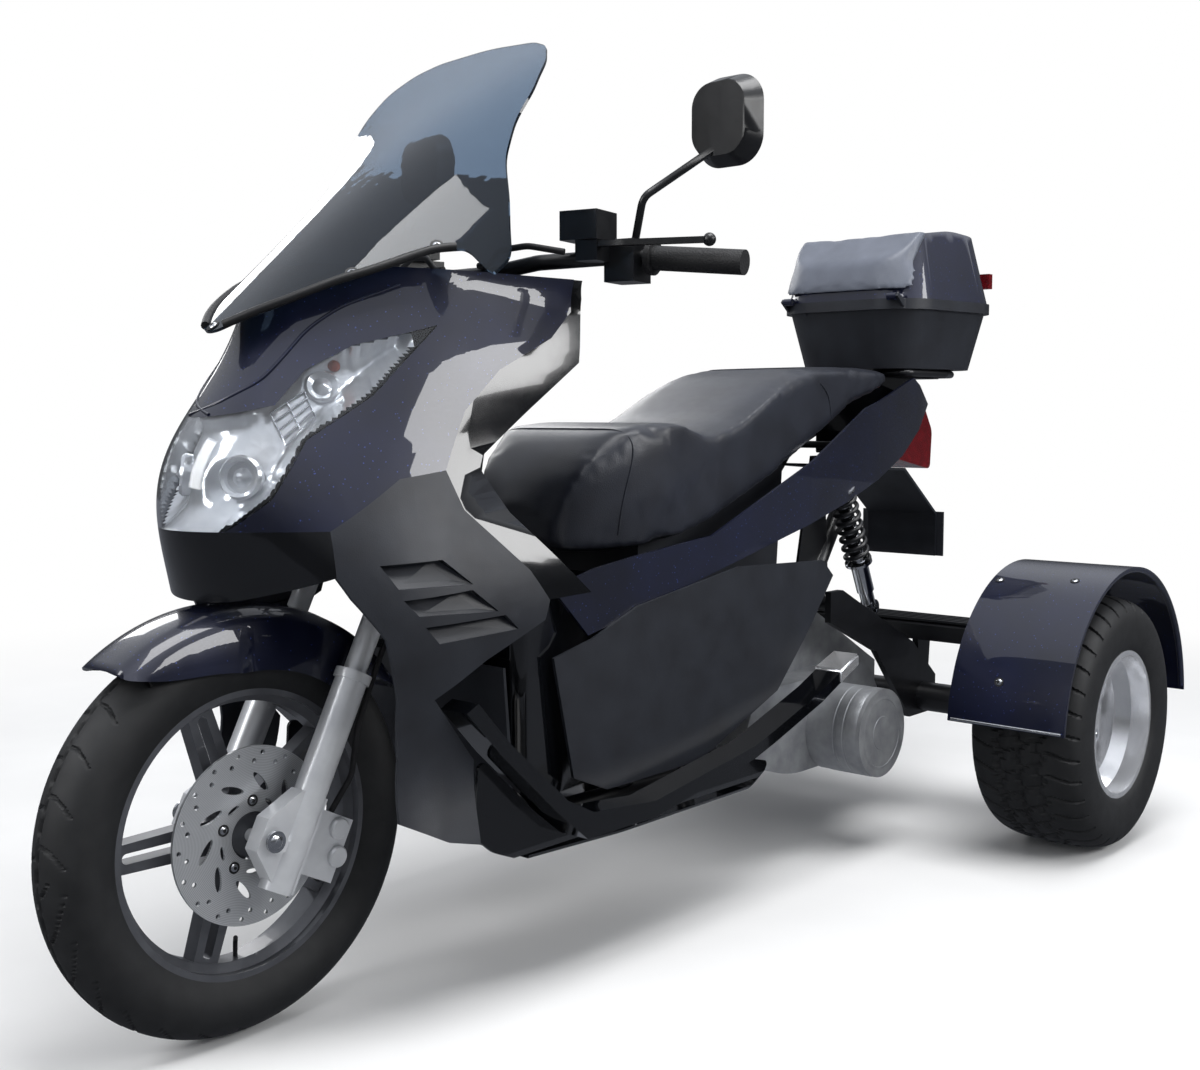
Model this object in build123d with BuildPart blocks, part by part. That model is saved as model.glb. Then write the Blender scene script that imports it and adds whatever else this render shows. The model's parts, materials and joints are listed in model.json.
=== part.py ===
"""A three-wheeled scooter with two wheels behind and one in front, made as separate pieces.

Millimetres, +X forward, +Y to the rider's left, +Z up. The origin lies on the ground under the
middle of the overall length. Outlines seen from the side are shares of the wheelbase, counted
forward from the rear axle, and of the body height. Outlines seen from above are shares of the
wheelbase and of the body's half width.
"""
import math
import os

from build123d import *

# Driving dimensions
WHEELBASE = 1480.0
REAR_OVERHANG = 285.0
REAR_TRACK = 930.0
BODY_HEIGHT = 1000.0
BODY_HALF_WIDTH = 250.0
RAKE_DEG = 27.0
TRAIL = 85.0
PANEL = 5.0
CLEAR = 0.3
CUT_OVER = 60.0

# Tyres and wheels
FRONT_TYRE_R = 259.0
FRONT_TYRE_WIDTH = 92.0
FRONT_SEAT_R = 178.0
FRONT_RIM_WIDTH = 68.0
REAR_TYRE_R = 229.0
REAR_TYRE_WIDTH = 205.0
REAR_SEAT_R = 127.0
REAR_RIM_WIDTH = 186.0
FLANGE_HEIGHT = 13.0
RIM_WALL = 4.0
AXLE_R = 8.0
HUB_R = 27.0
FRONT_HUB_HALF = 38.0
FRONT_WELL_DEPTH = 10.0
REAR_WELL_DEPTH = 16.0
SPOKE_COUNT = 5
SPOKE_START_DEG = 18.0
SPOKE_THICK = 24.0
SPOKE_HALF_WIDTH = 22.0
SLOT_LENGTH = 108.0
SLOT_WIDTH = 13.0
SLOT_MIDDLE_R = 106.0
SIDEWALL_SHARES = (0.3, 0.6)
SHOULDER_DROP_SHARE = 0.16
WELL_SHARE = 0.35
SEAT_SHARE = 0.62
FRONT_CROWN_SHARE = 0.84
REAR_CROWN_SHARE = 0.9
SPOKE_FOOT_SHARE = 0.7
SPOKE_FLARE_SHARE = 0.8
SPOKE_SINK_SHARE = 0.8

# Front brake
DISC_R = 112.0
DISC_THICK = 4.0
DISC_BAND = 44.0
DISC_BOSS_R = 40.0
DISC_ARM = 20.0
VENT_COUNT = 15
VENT_LENGTH = 30.0
VENT_WIDTH = 6.0
VENT_LEAN_DEG = 35.0
CALIPER_AHEAD = -58.0
CALIPER_ALONG = 285.0
CALIPER_DEEP = 60.0
CALIPER_WIDE = 45.0
CALIPER_BRIDGE = 12.0
CALIPER_EAR = 9.0
CALIPER_TALL = 84.0
CALIPER_GAP = 5.5

# Rear wheels
DISH_THICK = 12.0
WINDOW_COUNT = 10
WINDOW_MIDDLE_R = 84.0
WINDOW_LENGTH = 26.0
WINDOW_WIDTH = 22.0
REAR_HUB_R = 55.0
REAR_HUB_LENGTH = 60.0
HUB_CAP_LENGTH = 30.0
REAR_SHAFT_R = 15.0
REAR_SHAFT_LENGTH = 250.0

# Fork, measured along and ahead of the steering axis from where it meets the ground
LEG_Y = 80.0
LEG_AHEAD = 10.0
SLIDER_R = 21.0
SLIDER_LOW = 214.0
SLIDER_TOP = 500.0
SEAL_LIP = 3.0
SEAL_LENGTH = 12.0
TUBE_R = 15.0
LUG_THICK = 24.0
LUG_R = 24.0
LUG_RISE = 70.0
LUG_LOW_SHARE = 0.96
LUG_TOE_SHARE = 0.4
LUG_CORNER_SHARE = 0.7
AXLE_NUT = 9.0
NUT_SHARE = 1.5
CROWN_LOW = 634.0
CROWN_THICK = 26.0
CROWN_WALL = 8.0
STEM_R = 15.0
STEM_TOP = 1062.0
CLAMP_LENGTH = 44.0
CLAMP_WIDTH = 70.0
CLAMP_HEIGHT = 22.0

# Handlebar: bends, from the middle outward
BAR_R = 11.0
BAR_BEND_Y = (42.0, 110.0, 205.0, 370.0)
BAR_BACK = (34.0, 108.0, 145.0)
BAR_RISE = (14.0, 22.0, 6.0)
BAR_BEND_R = 40.0
GRIP_R = 17.0
GRIP_LENGTH = 122.0
GRIP_FLANGE = 8.0
GRIP_FLANGE_R = 24.0
GRIP_PLUG = 12.0
POD_TURN_DEG = 12.0
POD_BACK = 106.0
POD_Y = 212.0
POD_UP = 14.0
POD_DEEP = 52.0
POD_WIDE = 46.0
POD_TALL = 58.0
PERCH_BACK = 60.0
PERCH_Y = 190.0
PERCH_UP = 26.0
PERCH_DEEP = 44.0
PERCH_WIDE = 34.0
PERCH_TALL = 28.0
RESERVOIR_BACK = 60.0
RESERVOIR_Y = 180.0
RESERVOIR_UP = 60.0
RESERVOIR_DEEP = 58.0
RESERVOIR_WIDE = 58.0
RESERVOIR_TALL = 40.0
LEVER_BACK = (48.0, 60.0, 108.0)
LEVER_Y = (205.0, 245.0, 352.0)
LEVER_UP = 34.0
LEVER_BEND_R = 40.0
LEVER_THICK = 8.0
LEVER_WIDE = 12.0
LEVER_BALL_R = 9.0
MIRROR_BACK = (106.0, 98.0, 190.0)
MIRROR_Y = (226.0, 246.0, 303.0)
MIRROR_UP = (43.3, 98.0, 172.0)
MIRROR_STEM_R = 5.5
MIRROR_BEND_R = 22.0
MIRROR_HEAD_BACK = 196.0
MIRROR_HEAD_Y = 310.0
MIRROR_HEAD_UP = 208.0
MIRROR_HEAD_WIDE = 112.0
MIRROR_HEAD_TALL = 124.0
MIRROR_HEAD_DEEP = 30.0
MIRROR_ROUND_SHARE = 0.36
MIRROR_TOP_SHARE = 0.8

# Brake hose (ahead of, beside and along the steering axis) and cables (behind, beside, above the bar)
HOSE_R = 4.0
HOSE_ROUTE = (
    (-58.0, 50.0, 328.3), (-62.0, 60.0, 380.0), (-34.0, 70.0, 440.0), (-22.0, 80.0, 520.0),
    (-24.0, 78.0, 600.0),
)
HOSE_BENDS = (40.0, 40.0, 60.0)
CABLE_R = 4.5
CABLE_ROUTE = (
    (24.0, 168.0, 24.0), (2.0, 120.0, 34.0), (-10.0, 74.0, 30.0), (-11.2, 54.0, 11.2), (-11.2, 36.5, 11.2),
)
CABLE_BENDS = (50.0, 20.0, 16.0)

# Front fender: half width, crown radius about the axle, section and outline seen from the side
FENDER_R = 288.0
FENDER_WALL = 3.0
FENDER_ROUND_SHARE = 0.3
FENDER_SECTION_SHARES = (
    (1.0, 0.72), (1.0, 0.93), (0.72, 0.985), (0.3, 1.0),
    (-0.3, 1.0), (-0.72, 0.985), (-1.0, 0.93), (-1.0, 0.72),
)
FENDER_SIDE_SHARES = (
    (1.125, 0.480), (1.081, 0.560), (1.000, 0.600), (0.905, 0.590), (0.797, 0.480),
    (0.784, 0.400), (0.818, 0.395), (0.878, 0.438), (0.912, 0.425), (0.939, 0.415),
    (0.966, 0.455), (1.027, 0.470), (1.081, 0.470),
)

# Fairing: height, nose x, shoulder x, shoulder y, rear x and rear y, as shares of the body
FAIRING_ROUND_SHARE = 0.42
FAIRING_SECTION_SHARES = (
    (0.170, 1.020, 0.946, 0.740, 0.757, 0.800),
    (0.300, 1.034, 0.949, 0.820, 0.757, 0.872),
    (0.480, 1.051, 0.949, 0.872, 0.757, 0.952),
    (0.620, 1.077, 0.951, 0.820, 0.736, 0.888),
    (0.690, 1.091, 0.936, 0.752, 0.723, 0.792),
    (0.780, 1.066, 0.905, 0.688, 0.696, 0.728),
    (0.880, 1.012, 0.882, 0.600, 0.676, 0.688),
    (0.965, 0.973, 0.858, 0.520, 0.659, 0.660),
)
# The fairing's panels seen from the side; those that share an edge repeat its points
LENS_SIDE_SHARES = (
    (1.095, 0.765), (1.034, 0.772), (0.987, 0.790), (0.959, 0.833), (0.922, 0.864),
    (0.849, 0.892), (0.885, 0.846), (0.917, 0.802), (0.974, 0.748), (1.006, 0.677),
    (1.034, 0.640), (1.095, 0.640),
)
LENS_GAP = 1.5
REFLECTOR_DEEP = 34.0
BOWL_SHARES = (1.064, 0.248, 0.700)
BOWL_R = 52.0
UPPER_COWL_SIDE_SHARES = (
    (1.095, 0.765), (1.034, 0.772), (0.987, 0.790), (0.959, 0.833), (0.922, 0.864),
    (0.849, 0.892), (0.822, 0.939), (0.818, 0.975), (1.095, 0.975),
)
SIDE_COWL_SIDE_SHARES = (
    (0.818, 0.975), (0.822, 0.939), (0.849, 0.892), (0.885, 0.846), (0.917, 0.802),
    (0.974, 0.748), (1.006, 0.677), (1.034, 0.640), (0.973, 0.640), (0.911, 0.700),
    (0.866, 0.709), (0.836, 0.784), (0.791, 0.837), (0.722, 0.882), (0.691, 0.920),
    (0.686, 0.956), (0.686, 0.975),
)
CHIN_SIDE_SHARES = (
    (1.095, 0.640), (1.034, 0.640), (0.973, 0.640), (0.973, 0.585), (1.027, 0.555),
    (1.095, 0.535),
)
LOWER_COWL_SIDE_SHARES = (
    (0.973, 0.640), (0.911, 0.700), (0.866, 0.709), (0.855, 0.659), (0.795, 0.578),
    (0.776, 0.537), (0.782, 0.512), (0.847, 0.470), (0.897, 0.428), (0.850, 0.340),
    (0.857, 0.236), (0.889, 0.248), (0.929, 0.279), (0.924, 0.357), (0.928, 0.433),
    (0.941, 0.509), (0.964, 0.559), (0.973, 0.585),
)
LOUVRE_SIDE_SHARES = (
    (
    (0.943, 0.598), (0.889, 0.601), (0.861, 0.568), (0.931, 0.569),
),
    (
    (0.928, 0.555), (0.862, 0.561), (0.836, 0.531), (0.916, 0.535),
),
    (
    (0.911, 0.521), (0.828, 0.525), (0.813, 0.505), (0.898, 0.499),
),
)
LEG_SHIELD_SIDE_SHARES = (
    (0.686, 0.975), (0.686, 0.956), (0.691, 0.920), (0.722, 0.882), (0.791, 0.837),
    (0.836, 0.784), (0.866, 0.709), (0.855, 0.659), (0.795, 0.578), (0.776, 0.537),
    (0.722, 0.540), (0.803, 0.652), (0.826, 0.706), (0.820, 0.728), (0.757, 0.787),
    (0.689, 0.850), (0.672, 0.940), (0.672, 0.975),
)
BAR_NOTCH_HALF = 140.0
BAR_NOTCH_SHARES = (
    (0.635, 0.915), (0.784, 0.915), (0.784, 1.000), (0.635, 1.000),
)
HUMP_HALF = 46.0
HUMP_SIDE_SHARES = (
    (0.757, 0.787), (0.769, 0.706), (0.787, 0.600), (0.777, 0.545), (0.792, 0.545),
    (0.803, 0.600), (0.807, 0.652), (0.828, 0.706), (0.823, 0.728), (0.761, 0.787),
)
HUMP_HOLLOW_SHARES = (
    (0.755, 0.800), (0.769, 0.706), (0.787, 0.600), (0.778, 0.530), (0.865, 0.530),
    (0.865, 0.800),
)
LEG_SHIELD_CAVITY_SHARES = (
    (0.973, 0.975), (0.973, 0.500), (0.722, 0.520), (0.803, 0.652), (0.826, 0.706),
    (0.820, 0.728), (0.757, 0.787), (0.689, 0.850), (0.672, 0.940), (0.672, 0.985),
    (0.973, 0.985),
)

# Windscreen
SCREEN_SLOPE_DEG = 41.4
SCREEN_FOOT_SHARES = (1.018, 0.872)
SCREEN_LENGTH = 650.0
SCREEN_HALF_WIDTH = 220.0
SCREEN_THICK = 4.0
SCREEN_ROUND_SHARE = 0.3
# Share of the way up, and how far the edges fall back there as a share of the length
SCREEN_DEPTH_SHARES = ((-0.02, 0.327), (0.4, 0.242), (0.7, 0.073), (1.02, 0.01))
# Share of the half width, and share of the way up
SCREEN_OUTLINE_SHARES = (
    (0.0, 0.0), (0.3, 0.1), (0.582, 0.26), (0.727, 0.37), (0.836, 0.42), (0.945, 0.41), (0.982, 0.47),
    (0.909, 0.56), (0.818, 0.63), (0.773, 0.72), (0.782, 0.8), (0.727, 0.89), (0.6, 0.955), (0.436, 0.985), (0.0, 1.0),
)

# Splash guard, tunnel, side covers, floor and belly
SPLASH_HALF = 165.0
SPLASH_SIDE_SHARES = (
    (0.778, 0.193), (0.774, 0.290), (0.783, 0.440), (0.786, 0.440), (0.778, 0.290),
    (0.781, 0.193),
)
TUNNEL_ROUND_SHARE = 0.3
TUNNEL_TOP_SHARES = (
    (0.767, 0.535), (0.723, 0.536), (0.669, 0.518), (0.635, 0.516), (0.595, 0.540),
    (0.541, 0.520),
)
TUNNEL_FOOT_SHARES = (
    (0.541, 0.208), (0.581, 0.208), (0.649, 0.242), (0.767, 0.242),
)
DOOR_SPAN_SHARES = (
    (0.714, 0.533), (0.678, 0.521),
)
DOOR_HALF = 42.0
DOOR_THICK = 4.0
TUNNEL_HOLLOW_HALF = 104.0
TUNNEL_PLAN_SHARES = (
    (0.770, 0.660), (0.703, 0.600), (0.635, 0.480), (0.537, 0.440),
)
SIDE_COVER_SHARES = (
    (0.672, 0.465), (0.720, 0.538), (0.703, 0.545), (0.662, 0.560), (0.601, 0.572),
    (0.480, 0.590), (0.289, 0.701), (0.158, 0.790), (-0.014, 0.850), (-0.111, 0.800),
    (0.027, 0.700), (0.209, 0.622), (0.443, 0.543),
)
SIDE_COVER_PLAN_SHARES = (
    (0.730, 0.660), (0.601, 0.688), (0.297, 0.720), (0.122, 0.640), (-0.041, 0.440),
    (-0.115, 0.280),
)
LOWER_COVER_SHARES = (
    (0.721, 0.441), (0.669, 0.460), (0.604, 0.498), (0.439, 0.537), (0.276, 0.529),
    (0.253, 0.500), (0.316, 0.397), (0.366, 0.322), (0.504, 0.241), (0.649, 0.236),
    (0.695, 0.265),
)
LOWER_COVER_PLAN_SHARES = (
    (0.730, 0.672), (0.601, 0.712), (0.297, 0.752), (0.230, 0.740),
)
FLOOR_WIDTH = 48.0
FLOOR_SIDE_SHARES = (
    (0.865, 0.420), (0.828, 0.359), (0.759, 0.266), (0.725, 0.240), (0.637, 0.229),
    (0.471, 0.265), (0.336, 0.323), (0.255, 0.368), (0.255, 0.350), (0.336, 0.303),
    (0.471, 0.245), (0.637, 0.205), (0.733, 0.205), (0.770, 0.250), (0.838, 0.345),
    (0.878, 0.410),
)
FLOOR_PLAN_SHARES = (
    (0.882, 0.952), (0.770, 0.984), (0.635, 1.000), (0.432, 1.000), (0.250, 0.960),
)
BELLY_HALF = 202.0
BELLY_ROUND_SHARE = 0.2
BELLY_FRONT_SHARES = ((0.9, 0.16), (1.0, 0.2), (1.0, 0.4), (-1.0, 0.4), (-1.0, 0.2), (-0.9, 0.16))
BELLY_SIDE_SHARES = (
    (0.841, 0.342), (0.846, 0.235), (0.824, 0.208), (0.782, 0.182), (0.638, 0.171),
    (0.420, 0.173), (0.399, 0.215), (0.471, 0.241), (0.637, 0.201), (0.732, 0.201),
    (0.769, 0.244),
)
BELLY_FRONT_SHARE = 0.774

# Seat and bucket
BUCKET_HOLLOW_SHARES = (
    (0.530, 0.620), (0.530, 0.335), (0.428, 0.335), (0.408, 0.435), (0.281, 0.475),
    (0.268, 0.760),
)
SEAT_HALF = 165.0
SEAT_ROUND_SHARE = 0.35
SEAT_SIDE_SHARES = (
    (0.659, 0.575), (0.659, 0.630), (0.639, 0.705), (0.587, 0.756), (0.507, 0.765),
    (0.459, 0.745), (0.399, 0.768), (0.284, 0.853), (0.153, 0.866), (0.046, 0.860),
    (0.031, 0.838), (0.158, 0.796), (0.289, 0.702), (0.480, 0.592), (0.580, 0.574),
)
SEAT_PLAN_SHARES = (
    (0.662, 0.380), (0.568, 0.600), (0.432, 0.632), (0.284, 0.600), (0.095, 0.552),
    (0.030, 0.448),
)
BUCKET_HALF = 89.4
BUCKET_SIDE_SHARES = (
    (0.534, 0.576), (0.534, 0.330), (0.426, 0.330), (0.405, 0.430), (0.277, 0.470),
    (0.264, 0.702), (0.291, 0.700), (0.481, 0.590),
)

# Hinges of the seat, the box lid and the fuel door
HINGE_PIN_R = 4.0
HINGE_EAR = 5.0
SEAT_HINGE_SHARES = (0.667, 0.582)
SEAT_HINGE_HALF = 26.0
SEAT_EAR_SHARES = (
    (0.664, 0.512), (0.673, 0.514), (0.671, 0.584), (0.669, 0.589), (0.665, 0.589),
    (0.662, 0.584),
)
LID_HINGE_SHARES = (0.046, 1.003)
LID_BARREL_R = 7.0
LID_BARREL_Y = (108.0, 127.0)
LID_ARM_SHARES = (
    (0.046, 1.001), (0.046, 1.009), (0.019, 1.009), (0.019, 1.001),
)
LID_EAR_SHARES = (
    (0.050, 1.003), (0.046, 1.009), (0.042, 1.003), (0.034, 0.999), (0.009, 0.999),
    (0.009, 0.985), (0.034, 0.985),
)
DOOR_HINGE_SHARES = (0.715, 0.538)
DOOR_POST_LENGTH = 8.0
DOOR_POST_SHARES = (
    (0.712, 0.538), (0.712, 0.530), (0.718, 0.531), (0.718, 0.538),
)

# Tail
TAIL_ROUND_SHARE = 0.15
TAIL_HALF = 66.8
TAIL_SIDE_SHARES = (
    (0.024, 0.852), (-0.074, 0.852), (-0.114, 0.800), (-0.081, 0.750), (0.027, 0.700),
    (0.027, 0.745), (0.024, 0.800),
)
TAIL_LAMP_HALF = 60.0
TAIL_LAMP_SHARES = (
    (-0.074, 0.752), (-0.111, 0.806), (-0.139, 0.745), (-0.135, 0.665), (-0.041, 0.690),
    (-0.014, 0.712),
)
MUDGUARD_HALF = 80.0
MUDGUARD_SHARES = (
    (0.101, 0.684), (0.027, 0.676), (-0.041, 0.672), (-0.132, 0.575), (-0.132, 0.485),
    (-0.129, 0.485), (-0.129, 0.572), (-0.039, 0.667), (0.027, 0.671), (0.101, 0.679),
)
PLATE_THICK = 4.0
PLATE_WIDE = 190.0
PLATE_TALL = 92.0
PLATE_MIDDLE_SHARE = 0.531
PLATE_HOLES_ACROSS = 146.0
PLATE_HOLES_UP = 70.0
PLATE_HOLE_R = 3.25
CARRIER_HALF = 60.0
CARRIER_SHARES = (
    (0.026, 0.868), (-0.155, 0.868), (-0.155, 0.852), (0.026, 0.852),
)
RAIL_SHARES = (
    (0.0, 0.2, 0.8601), (0.0, 0.46, 0.8601), (-0.09, 0.5, 0.8601), (-0.14, 0.4, 0.8601), (-0.14, 0.2, 0.8601),
)
RAIL_R = 7.5
RAIL_BEND_R = 14.0

# Top box
BOX_FRONT_SHARE = 0.043
BOX_REAR_SHARE = -0.176
BOX_FRONT_HALF = 150.0
BOX_REAR_HALF = 188.0
BOX_TAPER = 30.0
BOX_BOTTOM_SHARE = 0.868
BOX_BASE_HEIGHT = 132.0
BOX_LID_HEIGHT = 140.0
BOX_BAND = 4.0
BOX_BAND_HEIGHT = 20.0
BOX_ROUND_SHARE = 0.26
LID_ROUND_SHARE = 0.3
LID_SIDE_SHARES = (
    (0.054, 0.990), (0.027, 1.070), (-0.014, 1.128), (-0.074, 1.140), (-0.149, 1.130),
    (-0.176, 1.080), (-0.182, 0.990),
)
PAD_HALF = 165.0
PAD_PROUD = 8.0
PAD_SIDE_SHARES = (
    (0.057, 1.013), (0.054, 1.028), (0.034, 1.076), (-0.008, 1.130), (-0.024, 1.130),
    (0.008, 1.072), (0.019, 1.020), (0.027, 1.013),
)
REFLECTOR_SHARES = (-0.172, 0.520, 1.050)
REFLECTOR_LONG = 16.0
REFLECTOR_WIDE = 60.0
REFLECTOR_TALL = 30.0

# Frame
HEAD_LOW = 664.0
HEAD_LENGTH = 190.0
HEAD_R = 28.2
FRAME_TUBE_R = 15.0
FRAME_BEND_R = 26.0
PIVOT_SHARES = (0.215, 0.440)
PIVOT_R = 14.0
PIVOT_PLATE_Y = 106.0
PIVOT_PLATE_SHARES = (
    (0.243, 0.425), (0.189, 0.425), (0.182, 0.500), (0.193, 0.705), (0.220, 0.705),
    (0.250, 0.500),
)
SHOCK_PIN_R = 9.0
CROSS_BAR_SHARES = (0.074, 0.720)
CROSS_BAR_HALF = 138.6
CROSS_BAR_R = 7.0
# Points of each tube as shares, whether it has a twin on the other side, and its thickness as a share
FRAME_TUBE_SHARES = (
    (((0.827, 0, 0.625), (0.791, 0, 0.520), (0.750, 0, 0.380), (0.682, 0, 0.206)), False, 1.4),
    (
        (
            (0.682, 0.000, 0.195), (0.662, 0.368, 0.195), (0.466, 0.416, 0.193),
            (0.416, 0.424, 0.445), (0.203, 0.416, 0.500), (0.034, 0.320, 0.790),
        ),
        True,
        1.0,
    ),
)

# Rear axle and engine
HOUSING_R = 28.0
HOUSING_END = 30.0
HOUSING_END_R = 45.0
ARM_Y = 155.0
ARM_THICK = 12.0
ARM_SIDE_SHARES = (
    (0.034, 0.195), (-0.034, 0.195), (-0.034, 0.265), (0.027, 0.340), (0.203, 0.465),
    (0.230, 0.465), (0.230, 0.410), (0.122, 0.340),
)
TRAY_HALF = 351.7
TRAY_SIDE_SHARES = (
    (0.027, 0.346), (0.030, 0.376), (0.023, 0.382), (-0.024, 0.382), (-0.031, 0.376),
    (-0.028, 0.346),
)
UPRIGHT_Y = (155.0, 300.0)
UPRIGHT_SIDE_SHARES = (
    (0.016, 0.350), (-0.018, 0.350), (-0.011, 0.230), (0.009, 0.230),
)
ENGINE_HALF = 88.0
ENGINE_SIDE_SHARES = (
    (0.392, 0.290), (0.392, 0.370), (0.236, 0.426), (0.196, 0.426), (0.041, 0.300),
    (0.041, 0.190), (0.196, 0.180),
)
CASE_ROUND_SHARE = 0.3
CASE_OUTER_Y = 142.0
CASE_SIDE_SHARES = (
    (0.399, 0.200), (0.365, 0.310), (0.122, 0.320), (0.081, 0.230), (0.149, 0.150),
    (0.297, 0.150),
)
DRUM_SHARES = (0.209, 0.220)
DRUM_R = 78.0
DRUM_OUTER_Y = 250.0
EXHAUST_SHARES = (
    (0.291, 0.378, 0.266), (0.291, 0.720, 0.222), (0.264, 0.952, 0.212), (0.054, 0.984, 0.272),
)
EXHAUST_PIPE_R = 14.0
EXHAUST_BEND_R = 20.0
EXHAUST_R = 45.0
EXHAUST_LENGTH = 280.0
SHOCK_Y = 147.0
SHOCK_LOW_SHARES = (0.124, 0.422)
SHOCK_HIGH_SHARES = (0.211, 0.690)
SHOCK_BODY_R = 15.0
SPRING_R = 25.0
SPRING_SHARES = (0.28, 0.72)
REAR_FENDER_R = 280.0
REAR_FENDER_INNER_Y = 352.0
REAR_FENDER_OUTER_Y = 562.0
REAR_FENDER_SHIFT = 14.0
REAR_FENDER_CUT_SHARES = (
    (0.230, 0.250), (0.162, 0.250), (0.027, 0.250), (-0.243, 0.250), (-0.243, -0.100),
    (0.230, -0.100),
)

# Places worked out from the driving dimensions
FRONT_AXLE_X = (WHEELBASE + REAR_OVERHANG - FRONT_TYRE_R) / 2
REAR_AXLE_X = FRONT_AXLE_X - WHEELBASE
FENDER_CENTER_X = REAR_AXLE_X - REAR_FENDER_SHIFT
RAKE_SIN = math.sin(math.radians(RAKE_DEG))
RAKE_COS = math.cos(math.radians(RAKE_DEG))
STEER_GROUND_X = FRONT_AXLE_X + TRAIL
AXLE_AHEAD = FRONT_TYRE_R * RAKE_SIN - TRAIL * RAKE_COS
AXLE_ALONG = FRONT_TYRE_R * RAKE_COS + TRAIL * RAKE_SIN
STEER_PLANE = Plane(
    origin=(STEER_GROUND_X, 0, 0),
    x_dir=(RAKE_COS, 0, RAKE_SIN),
    z_dir=(-RAKE_SIN, 0, RAKE_COS),
)
PIVOT_HALF = ARM_Y - ARM_THICK / 2
FENDER_HALF = LEG_Y - SLIDER_R - SEAL_LIP - CLEAR
HOUSING_HALF = REAR_FENDER_INNER_Y - HOUSING_END / 2 - CLEAR

os.makedirs("parts", exist_ok=True)


def body_x(share):
    return REAR_AXLE_X + share * WHEELBASE


def body_z(share):
    return share * BODY_HEIGHT


def body_y(share):
    return share * BODY_HALF_WIDTH


def side_points(shares):
    return [(body_x(x), body_z(z)) for x, z in shares]


def plan_points(shares):
    return [(body_x(x), body_y(y)) for x, y in shares]


def mirrored_plan(shares):
    """Both halves of an outline seen from above, from the points of its left half."""
    left = plan_points(shares)
    right = [(x, -y) for x, y in reversed(left) if y > 0]
    return left + right


def corner_radii(points, round_share):
    """A radius for each corner of a closed outline, from the shorter side and the turn there."""
    radii = []
    count = len(points)
    for i in range(count):
        before = points[i - 1]
        here = points[i]
        after = points[(i + 1) % count]
        back = Vector(before[0] - here[0], before[1] - here[1])
        on = Vector(after[0] - here[0], after[1] - here[1])
        inner = math.radians(back.get_angle(on))
        radii.append(round_share * min(back.length, on.length) * math.tan(inner / 2))
    return radii


def outline(points, round_share=0.0):
    """A flat face with rounded corners, to be placed by the plane of the sketch it joins."""
    with BuildSketch() as face:
        with BuildLine():
            if round_share > 0:
                FilletPolyline(*points, radius=corner_radii(points, round_share), close=True)
            else:
                Polyline(*points, close=True)
        make_face()
    return face.sketch


def from_side(points, inner_y, outer_y, round_share=0.0):
    """A slab with the outline seen from the side, from inner_y to outer_y."""
    with BuildPart() as slab:
        with BuildSketch(Plane.XZ.offset(-outer_y)):
            add(outline(points, round_share))
        extrude(amount=outer_y - inner_y)
    return slab.part


def from_above(points, low, high, round_share=0.0):
    """A slab with the outline seen from above, from low to high."""
    with BuildPart() as slab:
        with BuildSketch(Plane.XY.offset(low)):
            add(outline(points, round_share))
        extrude(amount=high - low)
    return slab.part


def tube_along(points, radius, bends):
    """A round bar along straight runs joined by arcs, one bend radius for each inner point."""
    with BuildPart() as bar:
        with BuildLine() as path:
            if len(points) > 2:
                FilletPolyline(*points, radius=bends)
            else:
                Polyline(*points)
        with BuildSketch(Plane(path.line @ 0, z_dir=path.line % 0)):
            Circle(radius)
        sweep()
    return bar.part


def ring(center_x, center_z, y0, y1, outer_r, inner_r):
    """A ring or a disc lying across the vehicle, from y0 to y1."""
    with BuildPart() as turned:
        with BuildSketch(Plane.XZ.offset(-y1)):
            with Locations((center_x, center_z)):
                Circle(outer_r)
                if inner_r > 0:
                    Circle(inner_r, mode=Mode.SUBTRACT)
        extrude(amount=y1 - y0)
    return turned.part


def save(piece, name):
    piece.label = name
    export_step(piece, f"parts/{name}.step")



def tyre(center_x, center_y, outer_r, width, seat_r, rim_width, crown_share):
    """A tyre that stands on the rim's seat, between its flanges, with bulged sides."""
    bead = rim_width / 2 - RIM_WALL
    flange_r = seat_r + FLANGE_HEIGHT
    height = outer_r - flange_r
    low = flange_r + height * SIDEWALL_SHARES[0]
    high = flange_r + height * SIDEWALL_SHARES[1]
    edge = (width / 2 * crown_share, outer_r - height * SHOULDER_DROP_SHARE)
    half = [(bead, seat_r), (bead, flange_r), (width / 2, low), (width / 2, high), edge]
    with BuildPart() as solid:
        with BuildSketch(Plane(origin=(center_x, center_y, outer_r), x_dir=(0, 1, 0), z_dir=(1, 0, 0))):
            with BuildLine():
                Polyline(*half)
                Polyline(*[(-y, r) for y, r in half])
                Line((-bead, seat_r), (bead, seat_r))
                ThreePointArc(half[-1], (0, outer_r), (-edge[0], edge[1]))
            make_face()
        revolve(axis=Axis((center_x, center_y, outer_r), (0, 1, 0)))
    return solid.part


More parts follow.
